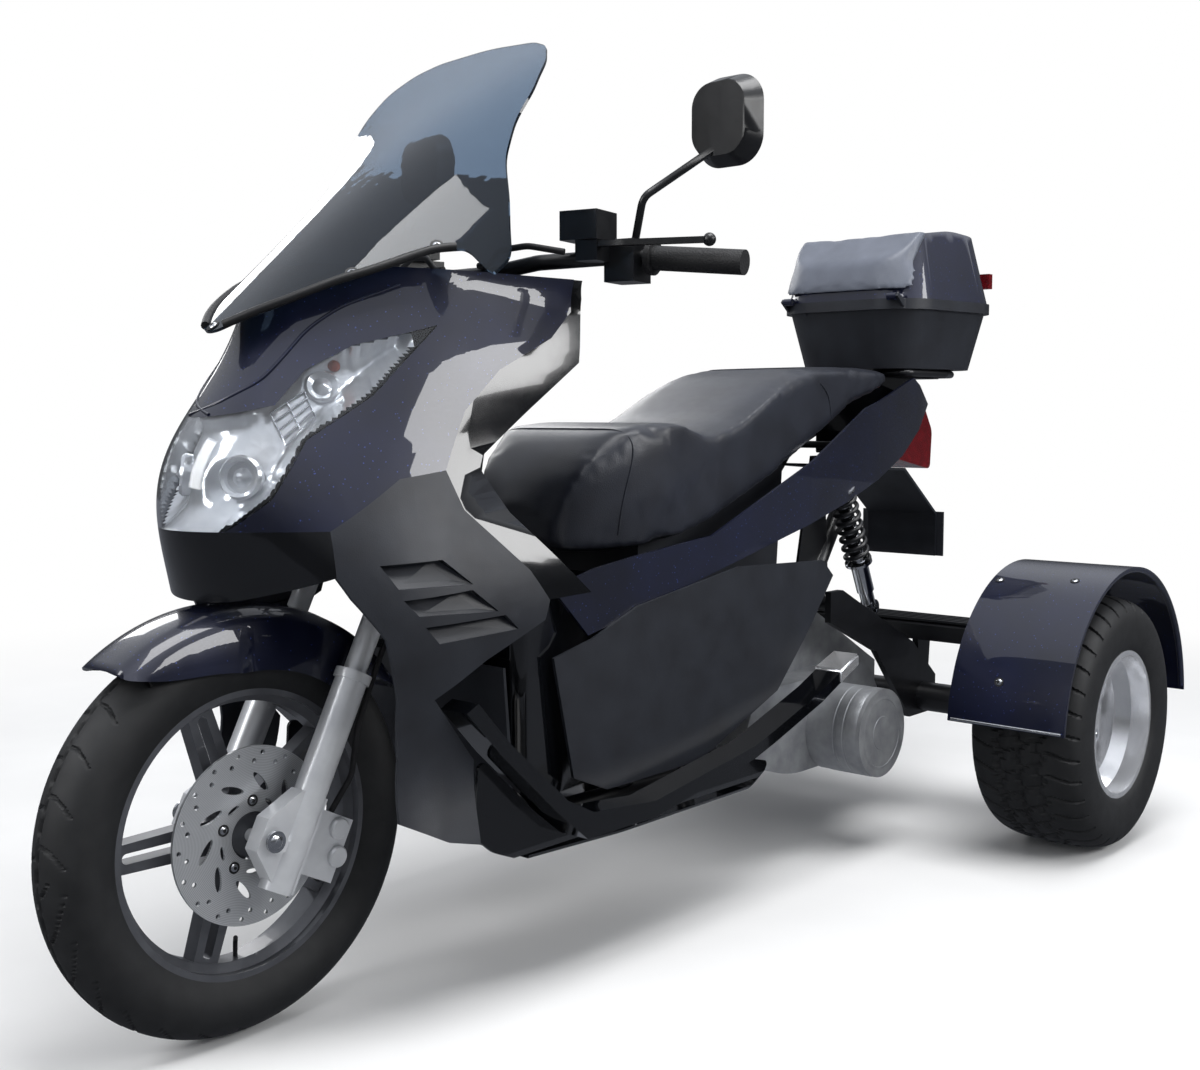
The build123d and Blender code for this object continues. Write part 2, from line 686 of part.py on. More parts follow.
def rim(center_x, center_y, center_z, seat_r, rim_width, well_depth):
    """The barrel of a wheel: a flat seat for each bead, a flange outside it and a well between."""
    half_width = rim_width / 2
    flange_r = seat_r + FLANGE_HEIGHT
    inner_r = seat_r - RIM_WALL
    well = half_width * WELL_SHARE
    seat = half_width * SEAT_SHARE
    outer = [
        (half_width, flange_r), (half_width - RIM_WALL, flange_r), (half_width - RIM_WALL, seat_r),
        (seat, seat_r), (well, seat_r - well_depth),
    ]
    inner = [(well + RIM_WALL / 2, inner_r - well_depth), (seat + RIM_WALL / 2, inner_r), (half_width, inner_r)]
    profile = outer + [(-y, r) for y, r in reversed(outer)]
    profile += [(-y, r) for y, r in reversed(inner)] + inner
    with BuildPart() as barrel:
        with BuildSketch(Plane(origin=(center_x, center_y, center_z), x_dir=(0, 1, 0), z_dir=(1, 0, 0))):
            with BuildLine():
                Polyline(*profile, close=True)
            make_face()
        revolve(axis=Axis((center_x, center_y, center_z), (0, 1, 0)))
    return barrel.part


# Front tyre
front_tyre = tyre(
    FRONT_AXLE_X, 0, FRONT_TYRE_R, FRONT_TYRE_WIDTH, FRONT_SEAT_R, FRONT_RIM_WIDTH, FRONT_CROWN_SHARE
)
save(front_tyre, "front_tyre")

SPOKE_FOOT_R = HUB_R * SPOKE_FOOT_SHARE
SPOKE_END_R = FRONT_SEAT_R - RIM_WALL - FRONT_WELL_DEPTH * SPOKE_SINK_SHARE

# Front wheel: five pairs of bars between the hub and the rim
with BuildPart() as front_wheel:
    add(rim(FRONT_AXLE_X, 0, FRONT_TYRE_R, FRONT_SEAT_R, FRONT_RIM_WIDTH, FRONT_WELL_DEPTH))
    with BuildSketch(Plane(origin=(FRONT_AXLE_X, SPOKE_THICK / 2, FRONT_TYRE_R), z_dir=(0, -1, 0))):
        with PolarLocations(0, SPOKE_COUNT, start_angle=SPOKE_START_DEG):
            Polygon(
                (SPOKE_FOOT_R, SPOKE_HALF_WIDTH),
                (SPOKE_FOOT_R, -SPOKE_HALF_WIDTH),
                (SPOKE_END_R, -SPOKE_HALF_WIDTH * SPOKE_FLARE_SHARE),
                (SPOKE_END_R, SPOKE_HALF_WIDTH * SPOKE_FLARE_SHARE),
                align=None,
            )
        with PolarLocations(0, SPOKE_COUNT, start_angle=SPOKE_START_DEG):
            with Locations((SLOT_MIDDLE_R, 0)):
                SlotOverall(SLOT_LENGTH, SLOT_WIDTH, mode=Mode.SUBTRACT)
    extrude(amount=SPOKE_THICK)
    with BuildSketch(Plane(origin=(FRONT_AXLE_X, FRONT_HUB_HALF, FRONT_TYRE_R), z_dir=(0, -1, 0))):
        Circle(HUB_R)
    extrude(amount=2 * FRONT_HUB_HALF)
    with BuildSketch(Plane(origin=(FRONT_AXLE_X, FRONT_HUB_HALF, FRONT_TYRE_R), z_dir=(0, -1, 0))):
        Circle(AXLE_R + CLEAR)
    extrude(amount=2 * FRONT_HUB_HALF, mode=Mode.SUBTRACT)
save(front_wheel.part, "front_wheel")

# Front brake disc: a ring of curved slots on five arms, bolted to the left side of the hub
DISC_Y = FRONT_HUB_HALF
with BuildPart() as front_brake_disc:
    with BuildSketch(Plane(origin=(FRONT_AXLE_X, DISC_Y + DISC_THICK, FRONT_TYRE_R), z_dir=(0, -1, 0))):
        Circle(DISC_R)
        Circle(DISC_R - DISC_BAND, mode=Mode.SUBTRACT)
        with PolarLocations((DISC_R - DISC_BAND + DISC_BOSS_R) / 2, SPOKE_COUNT, start_angle=SPOKE_START_DEG):
            Rectangle(DISC_R - DISC_BAND - DISC_BOSS_R + DISC_BAND / 2, DISC_ARM)
        Circle(DISC_BOSS_R)
        Circle(AXLE_R + CLEAR, mode=Mode.SUBTRACT)
        with PolarLocations(DISC_R - DISC_BAND / 2, VENT_COUNT):
            with Locations(Rotation(0, 0, VENT_LEAN_DEG)):
                SlotOverall(VENT_LENGTH, VENT_WIDTH, mode=Mode.SUBTRACT)
    extrude(amount=DISC_THICK)
save(front_brake_disc.part, "front_brake_disc")

# Rear wheels and tyres: a deep dish with windows between the hub and the rim
REAR_WHEEL_Y = REAR_TRACK / 2
DISH_R = REAR_SEAT_R - RIM_WALL - REAR_WELL_DEPTH * SPOKE_SINK_SHARE
for name, side in (("left", 1), ("right", -1)):
    wheel_y = side * REAR_WHEEL_Y
    rear_tyre = tyre(
        REAR_AXLE_X, wheel_y, REAR_TYRE_R, REAR_TYRE_WIDTH, REAR_SEAT_R, REAR_RIM_WIDTH, REAR_CROWN_SHARE
    )
    save(rear_tyre, f"rear_tyre_{name}")
    dish_plane = Plane(origin=(REAR_AXLE_X, wheel_y, REAR_TYRE_R), x_dir=(1, 0, 0), z_dir=(0, side, 0))
    with BuildPart() as rear_wheel:
        add(rim(REAR_AXLE_X, wheel_y, REAR_TYRE_R, REAR_SEAT_R, REAR_RIM_WIDTH, REAR_WELL_DEPTH))
        with BuildSketch(dish_plane.offset(-DISH_THICK / 2)):
            Circle(DISH_R)
            with PolarLocations(WINDOW_MIDDLE_R, WINDOW_COUNT):
                Rectangle(WINDOW_LENGTH, WINDOW_WIDTH, mode=Mode.SUBTRACT)
        extrude(amount=DISH_THICK)
        with BuildSketch(dish_plane.offset(-REAR_HUB_LENGTH)):
            Circle(REAR_HUB_R)
        extrude(amount=REAR_HUB_LENGTH + HUB_CAP_LENGTH)
        with BuildSketch(dish_plane.offset(-REAR_SHAFT_LENGTH)):
            Circle(REAR_SHAFT_R)
        extrude(amount=REAR_SHAFT_LENGTH)
    save(rear_wheel.part, f"rear_wheel_{name}")

# Fork: two sliders with lugs that reach forward to the axle, inner tubes, crown, stem and bar clamp
LUG_DROP = AXLE_ALONG - SLIDER_LOW
with BuildPart() as fork:
    for side in (1, -1):
        with BuildSketch(STEER_PLANE.offset(SLIDER_LOW)):
            with Locations((LEG_AHEAD, side * LEG_Y)):
                Circle(SLIDER_R)
        extrude(amount=SLIDER_TOP - SLIDER_LOW)
        with BuildSketch(STEER_PLANE.offset(SLIDER_TOP)):
            with Locations((LEG_AHEAD, side * LEG_Y)):
                Circle(TUBE_R)
        extrude(amount=CROWN_LOW + CROWN_THICK - SLIDER_TOP)
        with BuildSketch(STEER_PLANE.offset(SLIDER_TOP)):
            with Locations((LEG_AHEAD, side * LEG_Y)):
                Circle(SLIDER_R + SEAL_LIP)
        extrude(amount=-SEAL_LENGTH)
        with BuildSketch(Plane(origin=(STEER_GROUND_X, side * LEG_Y + LUG_THICK / 2, 0),
                               x_dir=(RAKE_COS, 0, RAKE_SIN), z_dir=(0, -1, 0))):
            with BuildLine():
                Polyline(
                    (LEG_AHEAD - SLIDER_R, AXLE_ALONG - LUG_DROP * LUG_LOW_SHARE),
                    (LEG_AHEAD + SLIDER_R * LUG_TOE_SHARE, AXLE_ALONG - LUG_DROP * LUG_LOW_SHARE),
                    (AXLE_AHEAD + LUG_R, AXLE_ALONG - LUG_R * LUG_CORNER_SHARE),
                    (AXLE_AHEAD + LUG_R, AXLE_ALONG + LUG_R),
                    (LEG_AHEAD + SLIDER_R, AXLE_ALONG + LUG_RISE),
                    (LEG_AHEAD - SLIDER_R, AXLE_ALONG + LUG_RISE),
                    close=True,
                )
            make_face()
        extrude(amount=LUG_THICK)
    with BuildSketch(STEER_PLANE.offset(CROWN_LOW)):
        with BuildLine():
            Polyline(
                (LEG_AHEAD + TUBE_R + CROWN_WALL, LEG_Y),
                (STEM_R + CROWN_WALL, 0),
                (LEG_AHEAD + TUBE_R + CROWN_WALL, -LEG_Y),
                (LEG_AHEAD, -(LEG_Y + TUBE_R + CROWN_WALL)),
                (LEG_AHEAD - TUBE_R - CROWN_WALL, -LEG_Y),
                (-STEM_R - CROWN_WALL, 0),
                (LEG_AHEAD - TUBE_R - CROWN_WALL, LEG_Y),
                (LEG_AHEAD, LEG_Y + TUBE_R + CROWN_WALL),
                close=True,
            )
        make_face()
    extrude(amount=CROWN_THICK)
    with BuildSketch(Plane.XZ.offset(-(LEG_Y + LUG_THICK / 2 + AXLE_NUT))):
        with Locations((FRONT_AXLE_X, FRONT_TYRE_R)):
            Circle(AXLE_R)
    extrude(amount=2 * (LEG_Y + LUG_THICK / 2 + AXLE_NUT))
    with BuildSketch(Plane.XZ.offset(-(LEG_Y + LUG_THICK / 2 + AXLE_NUT))):
        with Locations((FRONT_AXLE_X, FRONT_TYRE_R)):
            RegularPolygon(AXLE_R * NUT_SHARE, 6)
    extrude(amount=AXLE_NUT)
    with BuildSketch(STEER_PLANE.offset(CROWN_LOW)):
        Circle(STEM_R)
    extrude(amount=STEM_TOP - CROWN_LOW)
    with BuildSketch(STEER_PLANE.offset(STEM_TOP)):
        Rectangle(CLAMP_LENGTH, CLAMP_WIDTH)
    extrude(amount=CLAMP_HEIGHT)
save(fork.part, "fork")
CLAMP_MIDDLE = STEM_TOP + CLAMP_HEIGHT
BAR_CENTER = STEER_PLANE.from_local_coords(Vector(0, 0, CLAMP_MIDDLE + BAR_R + CLEAR))


def from_bar(back, side, up):
    """A point given by how far behind, beside and above the middle of the handlebar it lies."""
    return (BAR_CENTER.X - back, side, BAR_CENTER.Z + up)


# Handlebar: one bent bar, with a weight at each end
bar_half = [
    from_bar(0, BAR_BEND_Y[0], 0),
    from_bar(BAR_BACK[0], BAR_BEND_Y[1], BAR_RISE[0]),
    from_bar(BAR_BACK[1], BAR_BEND_Y[2], BAR_RISE[1]),
    from_bar(BAR_BACK[2], BAR_BEND_Y[3], BAR_RISE[2]),
]
bar_route = [(x, -y, z) for x, y, z in reversed(bar_half)] + bar_half
handlebar = tube_along(bar_route, BAR_R, [BAR_BEND_R] * (len(bar_route) - 2))
save(handlebar, "handlebar")

# Grips: rubber sleeves with a bar-end plug
with BuildPart() as grips:
    for side in (1, -1):
        start = Vector(bar_half[2][0], side * bar_half[2][1], bar_half[2][2])
        end = Vector(bar_half[3][0], side * bar_half[3][1], bar_half[3][2])
        along = (end - start).normalized()
        grip_start = end - along * GRIP_LENGTH
        with BuildSketch(Plane(origin=grip_start, z_dir=along)):
            Circle(GRIP_R)
            Circle(BAR_R + CLEAR, mode=Mode.SUBTRACT)
        extrude(amount=GRIP_LENGTH)
        with BuildSketch(Plane(origin=grip_start - along * GRIP_FLANGE, z_dir=along)):
            Circle(GRIP_FLANGE_R)
            Circle(BAR_R + CLEAR, mode=Mode.SUBTRACT)
        extrude(amount=GRIP_FLANGE)
        with BuildSketch(Plane(origin=end, z_dir=along)):
            Circle(GRIP_R)
        extrude(amount=GRIP_PLUG)
save(grips.part, "grips")

# Levers: flat blades with a ball at the tip
with BuildPart() as levers:
    for side in (1, -1):
        lever_points = [from_bar(LEVER_BACK[i], side * LEVER_Y[i], LEVER_UP) for i in range(3)]
        with BuildLine() as lever_path:
            FilletPolyline(*lever_points, radius=LEVER_BEND_R)
        with BuildSketch(Plane(lever_path.line @ 0, x_dir=(0, 0, 1), z_dir=lever_path.line % 0)):
            Rectangle(LEVER_THICK, LEVER_WIDE)
        sweep()
        with Locations(lever_points[-1]):
            Sphere(LEVER_BALL_R)

# Mirrors: angled stems and rounded heads
with BuildPart() as mirrors:
    for side in (1, -1):
        stem_points = [from_bar(MIRROR_BACK[i], side * MIRROR_Y[i], MIRROR_UP[i]) for i in range(3)]
        with BuildLine() as stem_path:
            FilletPolyline(*stem_points, radius=MIRROR_BEND_R)
        with BuildSketch(Plane(stem_path.line @ 0, z_dir=stem_path.line % 0)):
            Circle(MIRROR_STEM_R)
        sweep()
        head_plane = Plane(
            origin=from_bar(MIRROR_HEAD_BACK, side * MIRROR_HEAD_Y, MIRROR_HEAD_UP),
            x_dir=(0, 1, 0),
            z_dir=(1, 0, 0),
        )
        with BuildSketch(head_plane.offset(-MIRROR_HEAD_DEEP / 2)):
            RectangleRounded(MIRROR_HEAD_WIDE, MIRROR_HEAD_TALL, MIRROR_HEAD_WIDE * MIRROR_ROUND_SHARE)
        with BuildSketch(head_plane.offset(MIRROR_HEAD_DEEP / 2)):
            RectangleRounded(
                MIRROR_HEAD_WIDE * MIRROR_TOP_SHARE,
                MIRROR_HEAD_TALL * MIRROR_TOP_SHARE,
                MIRROR_HEAD_WIDE * MIRROR_TOP_SHARE * MIRROR_ROUND_SHARE,
            )
        loft()
save(mirrors.part, "mirrors")

# Hand controls: on each side a switch box, a lever perch and a square brake fluid reservoir
bar_clearance = tube_along(bar_route, BAR_R + CLEAR, [BAR_BEND_R] * (len(bar_route) - 2))
with BuildPart() as hand_controls:
    for side in (1, -1):
        pod_center = from_bar(POD_BACK, side * POD_Y, POD_UP)
        with Locations(Location(pod_center, (0, 0, side * POD_TURN_DEG))):
            Box(POD_DEEP, POD_WIDE, POD_TALL)
        perch_center = from_bar(PERCH_BACK, side * PERCH_Y, PERCH_UP)
        with Locations(Location(perch_center, (0, 0, side * POD_TURN_DEG))):
            Box(PERCH_DEEP, PERCH_WIDE, PERCH_TALL)
        reservoir_center = from_bar(RESERVOIR_BACK, side * RESERVOIR_Y, RESERVOIR_UP)
        with Locations(Location(reservoir_center, (0, 0, side * POD_TURN_DEG))):
            Box(RESERVOIR_DEEP, RESERVOIR_WIDE, RESERVOIR_TALL)
    add(bar_clearance, mode=Mode.SUBTRACT)
    add(mirrors.part, mode=Mode.SUBTRACT)
    add(levers.part)
save(hand_controls.part, "hand_controls")

# Front fender: a curved blade over the tyre, with side wings that bolt to the sliders
fender_wedge = from_side(side_points(FENDER_SIDE_SHARES), -FENDER_HALF, FENDER_HALF, FENDER_ROUND_SHARE)
fender_inner_half = FENDER_HALF - FENDER_WALL
fender_inner_r = FENDER_R - FENDER_WALL
with BuildPart() as front_fender:
    with BuildSketch(Plane(origin=(FRONT_AXLE_X, 0, FRONT_TYRE_R), x_dir=(0, 1, 0), z_dir=(1, 0, 0))):
        with BuildLine():
            Polyline(*[(FENDER_HALF * y, FENDER_R * r) for y, r in FENDER_SECTION_SHARES], close=True)
        make_face()
    revolve(axis=Axis((FRONT_AXLE_X, 0, FRONT_TYRE_R), (0, 1, 0)))
    with BuildSketch(Plane(origin=(FRONT_AXLE_X, 0, FRONT_TYRE_R), x_dir=(0, 1, 0), z_dir=(1, 0, 0))):
        with BuildLine():
            Polyline(
                *[(fender_inner_half * y, fender_inner_r * r) for y, r in FENDER_SECTION_SHARES], close=True
            )
        make_face()
    revolve(axis=Axis((FRONT_AXLE_X, 0, FRONT_TYRE_R), (0, 1, 0)), mode=Mode.SUBTRACT)
    add(fender_wedge, mode=Mode.INTERSECT)
save(front_fender.part, "front_fender")

# Front brake caliper: behind the left slider, open over the disc
with BuildPart() as front_caliper:
    with Locations(STEER_PLANE * Location((CALIPER_AHEAD, DISC_Y + DISC_THICK / 2, CALIPER_ALONG))):
        Box(CALIPER_DEEP, CALIPER_WIDE, CALIPER_TALL)
        with Locations((CALIPER_BRIDGE, 0, 0)):
            Box(CALIPER_DEEP, DISC_THICK + 2 * CALIPER_GAP, CALIPER_TALL + CUT_OVER, mode=Mode.SUBTRACT)
        with Locations((CALIPER_DEEP / 2, CALIPER_WIDE / 2 - CALIPER_EAR / 2, 0)):
            Box(CALIPER_DEEP, CALIPER_EAR, CALIPER_TALL / 2)
    add(fork.part, mode=Mode.SUBTRACT)
save(front_caliper.part, "front_caliper")

# Brake hose: from the caliper up behind the left slider to the crown, held by clips
hose_route = [
    tuple(STEER_PLANE.from_local_coords(Vector(ahead, side, along))) for ahead, side, along in HOSE_ROUTE
]
# Control cables: from the hand controls across the handlebar into the fairing
with BuildPart() as hoses_and_cables:
    add(tube_along(hose_route, HOSE_R, HOSE_BENDS))
    for side in (1, -1):
        cable_points = [from_bar(back, side * y, up) for back, y, up in CABLE_ROUTE]
        add(tube_along(cable_points, CABLE_R, CABLE_BENDS))
save(hoses_and_cables.part, "hoses_and_cables")

# The fairing's outer form, from the ground up, and the same form one panel further in
def fairing_section(row, inset, back):
    """A section of the fairing: a pointed front, rounded shoulders and an open back."""
    height, nose, shoulder, shoulder_y, rear, rear_y = row
    nose_x = body_x(nose) - inset
    shoulder_x = body_x(shoulder)
    rear_x = body_x(rear) - back
    points = [
        (rear_x, body_y(rear_y) - inset),
        (shoulder_x, body_y(shoulder_y) - inset),
        (nose_x, 0),
        (shoulder_x, inset - body_y(shoulder_y)),
        (rear_x, inset - body_y(rear_y)),
    ]
    radii = corner_radii(points, FAIRING_ROUND_SHARE)
    radii[0] = 0
    radii[-1] = 0
    with BuildSketch(Plane.XY.offset(body_z(height))) as section:
        with BuildLine():
            FilletPolyline(*points, radius=radii, close=True)
        make_face()
    return section.sketch


def fairing_form(inset, back):
    sections = [fairing_section(row, inset, back) for row in FAIRING_SECTION_SHARES]
    with BuildPart() as form:
        add(sections)
        loft()
    return form.part


fairing_outer = fairing_form(0, 0)
fairing_inner = fairing_form(PANEL, CUT_OVER)
with BuildPart() as fairing:
    add(fairing_outer)
    add(fairing_inner, mode=Mode.SUBTRACT)

FAIRING_REACH = BODY_HALF_WIDTH + CUT_OVER


def fairing_panel(shares, round_share=0.0):
    """The stretch of the fairing that lies inside an outline seen from the side."""
    with BuildPart() as panel:
        add(fairing.part)
        with BuildSketch(Plane.XZ):
            add(outline(side_points(shares), round_share))
        extrude(amount=FAIRING_REACH, both=True, mode=Mode.INTERSECT)
    return panel.part


headlamp_lens = fairing_panel(LENS_SIDE_SHARES)
save(headlamp_lens, "headlamp_lens")
with BuildPart() as headlamp_reflector:
    add(fairing_form(PANEL + LENS_GAP, 0))
    add(fairing_form(PANEL + REFLECTOR_DEEP, CUT_OVER), mode=Mode.SUBTRACT)
    with BuildSketch(Plane.XZ):
        add(outline(side_points(LENS_SIDE_SHARES)))
    extrude(amount=FAIRING_REACH, both=True, mode=Mode.INTERSECT)
    for side in (1, -1):
        with Locations((body_x(BOWL_SHARES[0]), side * body_y(BOWL_SHARES[1]), body_z(BOWL_SHARES[2]))):
            Sphere(BOWL_R, mode=Mode.SUBTRACT)
save(headlamp_reflector.part, "headlamp_reflector")
upper_cowl = fairing_panel(UPPER_COWL_SIDE_SHARES)
save(upper_cowl, "upper_cowl")
side_cowls = fairing_panel(SIDE_COWL_SIDE_SHARES)
save(side_cowls, "side_cowls")
chin_cowl = fairing_panel(CHIN_SIDE_SHARES)
save(chin_cowl, "chin_cowl")
with BuildPart() as lower_cowls:
    add(fairing_panel(LOWER_COWL_SIDE_SHARES))
    for louvre in LOUVRE_SIDE_SHARES:
        add(from_side(side_points(louvre), -FAIRING_REACH, FAIRING_REACH), mode=Mode.SUBTRACT)
save(lower_cowls.part, "lower_cowls")

# Leg shield: a wall behind the fairing with side returns that meet the fairing's rear edge
with BuildPart() as leg_shield:
    add(fairing_form(0, CUT_OVER))
    with BuildSketch(Plane.XZ):
        add(outline(side_points(LEG_SHIELD_SIDE_SHARES)))
    extrude(amount=FAIRING_REACH, both=True, mode=Mode.INTERSECT)
leg_shield_cavity = fairing_form(PANEL, 2 * CUT_OVER)
with BuildPart() as leg_shield_hollow:
    add(leg_shield_cavity)
    with BuildSketch(Plane.XZ):
        add(outline([(x + PANEL, z) for x, z in side_points(LEG_SHIELD_CAVITY_SHARES)]))
    extrude(amount=FAIRING_REACH, both=True, mode=Mode.INTERSECT)
with BuildPart() as leg_shield_shell:
    add(leg_shield.part)
    add(leg_shield_hollow.part, mode=Mode.SUBTRACT)
hump_hollow = [(x + PANEL, z) for x, z in side_points(HUMP_HOLLOW_SHARES)]
with BuildPart() as leg_shield_whole:
    add(leg_shield_shell.part)
    add(from_side(side_points(HUMP_SIDE_SHARES), -HUMP_HALF, HUMP_HALF))
    add(from_side(hump_hollow, PANEL - HUMP_HALF, HUMP_HALF - PANEL), mode=Mode.SUBTRACT)
    add(from_side(side_points(BAR_NOTCH_SHARES), -BAR_NOTCH_HALF, BAR_NOTCH_HALF), mode=Mode.SUBTRACT)
save(leg_shield_whole.part, "leg_shield")

# Windscreen: a thin sheet that is deeply curved at its foot and nearly flat at its top
SCREEN_SLOPE_SIN = math.sin(math.radians(SCREEN_SLOPE_DEG))
SCREEN_SLOPE_COS = math.cos(math.radians(SCREEN_SLOPE_DEG))
screen_plane = Plane(
    origin=(body_x(SCREEN_FOOT_SHARES[0]), 0, body_z(SCREEN_FOOT_SHARES[1])),
    x_dir=(0, 1, 0),
    z_dir=(-SCREEN_SLOPE_COS, 0, SCREEN_SLOPE_SIN),
)
screen_face = Plane(
    origin=screen_plane.origin,
    x_dir=(0, 1, 0),
    z_dir=(SCREEN_SLOPE_SIN, 0, SCREEN_SLOPE_COS),
)
with BuildPart() as windscreen:
    for up, depth in SCREEN_DEPTH_SHARES:
        bow = depth * SCREEN_LENGTH
        with BuildSketch(screen_plane.offset(up * SCREEN_LENGTH)):
            with BuildLine():
                ThreePointArc((-SCREEN_HALF_WIDTH, bow), (0, 0), (SCREEN_HALF_WIDTH, bow))
                Line((SCREEN_HALF_WIDTH, bow), (SCREEN_HALF_WIDTH, bow + SCREEN_THICK))
                ThreePointArc(
                    (SCREEN_HALF_WIDTH, bow + SCREEN_THICK),
                    (0, SCREEN_THICK),
                    (-SCREEN_HALF_WIDTH, bow + SCREEN_THICK),
                )
                Line((-SCREEN_HALF_WIDTH, bow + SCREEN_THICK), (-SCREEN_HALF_WIDTH, bow))
            make_face()
    loft()
    screen_half = [(SCREEN_HALF_WIDTH * y, SCREEN_LENGTH * up) for y, up in SCREEN_OUTLINE_SHARES]
    screen_points = screen_half + [(-y, up) for y, up in reversed(screen_half) if y > 0]
    with BuildSketch(screen_face):
        add(outline(screen_points, SCREEN_ROUND_SHARE))
    extrude(amount=SCREEN_LENGTH, both=True, mode=Mode.INTERSECT)
    add(fairing_form(-CLEAR, 0), mode=Mode.SUBTRACT)
save(windscreen.part, "windscreen")

# Splash guard: a bent wall behind the front wheel
save(from_side(side_points(SPLASH_SIDE_SHARES), -SPLASH_HALF, SPLASH_HALF), "splash_guard")


def hinge_pin(place, low_y, high_y, outer_r, inner_r):
    """A pin or barrel across the vehicle at a place seen from the side."""
    return ring(body_x(place[0]), body_z(place[1]), low_y, high_y, outer_r, inner_r)


# Centre tunnel: the hump between the leg shield and the seat, with the hinges of both
tunnel_form = from_above(mirrored_plan(TUNNEL_PLAN_SHARES), 0, BODY_HEIGHT, TUNNEL_ROUND_SHARE)
tunnel_top = side_points(TUNNEL_TOP_SHARES)
tunnel_front = tunnel_top[0][0] + CUT_OVER
tunnel_rear = tunnel_top[-1][0] - CUT_OVER
tunnel_hollow = [(tunnel_front, 0), (tunnel_front, tunnel_top[0][1] - PANEL)]
tunnel_hollow += [(x, z - PANEL) for x, z in tunnel_top]
tunnel_hollow += [(tunnel_rear, tunnel_top[-1][1] - PANEL), (tunnel_rear, 0)]
with BuildPart() as centre_tunnel:
    add(from_side(tunnel_top + side_points(TUNNEL_FOOT_SHARES), -BODY_HALF_WIDTH, BODY_HALF_WIDTH))
    add(tunnel_form, mode=Mode.INTERSECT)
    with BuildSketch(Plane.XZ):
        add(outline(tunnel_hollow))
    extrude(amount=TUNNEL_HOLLOW_HALF, both=True, mode=Mode.SUBTRACT)
    add(hinge_pin(SEAT_HINGE_SHARES, -SEAT_HINGE_HALF, SEAT_HINGE_HALF, HINGE_PIN_R, 0))
    for side in (1, -1):
        ear_ends = sorted((side * SEAT_HINGE_HALF, side * (SEAT_HINGE_HALF - HINGE_EAR)))
        add(from_side(side_points(SEAT_EAR_SHARES), *ear_ends))
        post_ends = sorted((side * (DOOR_HALF + CLEAR), side * (DOOR_HALF + CLEAR + DOOR_POST_LENGTH)))
        add(hinge_pin(DOOR_HINGE_SHARES, *post_ends, HINGE_PIN_R, 0))
        add(from_side(side_points(DOOR_POST_SHARES), *post_ends))
save(centre_tunnel.part, "centre_tunnel")

# Fuel door: a flat lid on the tunnel, with its hinge barrel at the front edge
door_front, door_rear = side_points(DOOR_SPAN_SHARES)
with BuildPart() as fuel_door:
    with BuildSketch(Plane.XZ):
        with BuildLine():
            Polyline(
                (door_front[0], door_front[1] + CLEAR),
                (door_rear[0], door_rear[1] + CLEAR),
                (door_rear[0], door_rear[1] + CLEAR + DOOR_THICK),
                (door_front[0], door_front[1] + CLEAR + DOOR_THICK),
                close=True,
            )
        make_face()
    extrude(amount=DOOR_HALF, both=True)
    add(hinge_pin(DOOR_HINGE_SHARES, -DOOR_HALF, DOOR_HALF, HINGE_PIN_R, 0))
save(fuel_door.part, "fuel_door")


def body_band(plan_shares, inset_y):
    """Two curved walls, one on each side, between an outline seen from above and the same inset."""
    outer = plan_points(plan_shares)
    inner = [(x, y - inset_y) for x, y in reversed(outer)]
    band = from_above(outer + inner, 0, BODY_HEIGHT)
    return band


def side_wall(side_shares, plan_shares, thick, round_share=0.0):
    with BuildPart() as wall:
        add(body_band(plan_shares, thick))
        with BuildSketch(Plane.XZ):
            add(outline(side_points(side_shares), round_share))
        extrude(amount=-BODY_HALF_WIDTH - CUT_OVER, mode=Mode.INTERSECT)
        mirror(about=Plane.XZ)
    return wall.part


save(side_wall(SIDE_COVER_SHARES, SIDE_COVER_PLAN_SHARES, PANEL), "side_covers")
save(side_wall(LOWER_COVER_SHARES, LOWER_COVER_PLAN_SHARES, PANEL), "lower_side_covers")
save(side_wall(FLOOR_SIDE_SHARES, FLOOR_PLAN_SHARES, FLOOR_WIDTH), "floorboards")

# Belly pan: an open-topped trough under the floor
with BuildPart() as belly_pan:
    add(from_side(side_points(BELLY_SIDE_SHARES), -BELLY_HALF, BELLY_HALF, BELLY_ROUND_SHARE))
    with BuildSketch(Plane.YZ):
        with BuildLine():
            Polyline(*[(BELLY_HALF * y, body_z(z)) for y, z in BELLY_FRONT_SHARES], close=True)
        make_face()
    extrude(amount=WHEELBASE, both=True, mode=Mode.INTERSECT)
    add(
        from_side(
            [(x, z + PANEL) for x, z in side_points(BELLY_SIDE_SHARES)], PANEL - BELLY_HALF, BELLY_HALF - PANEL
        ),
        mode=Mode.SUBTRACT,
    )
    add(
        from_side(
            [
                (body_x(BELLY_FRONT_SHARE), 0), (FRONT_AXLE_X, 0),
                (FRONT_AXLE_X, BODY_HEIGHT), (body_x(BELLY_FRONT_SHARE), BODY_HEIGHT),
            ],
            PANEL - BELLY_HALF,
            BELLY_HALF - PANEL,
        ),
        mode=Mode.SUBTRACT,
    )
save(belly_pan.part, "belly_pan")

# Seat: a low front part for the rider and a raised rear part
with BuildPart() as seat:
    add(from_side(side_points(SEAT_SIDE_SHARES), -SEAT_HALF, SEAT_HALF, SEAT_ROUND_SHARE))
    with BuildSketch(Plane.XY):
        add(outline(mirrored_plan(SEAT_PLAN_SHARES), SEAT_ROUND_SHARE))
    extrude(amount=BODY_HEIGHT, mode=Mode.INTERSECT)
save(seat.part, "seat")

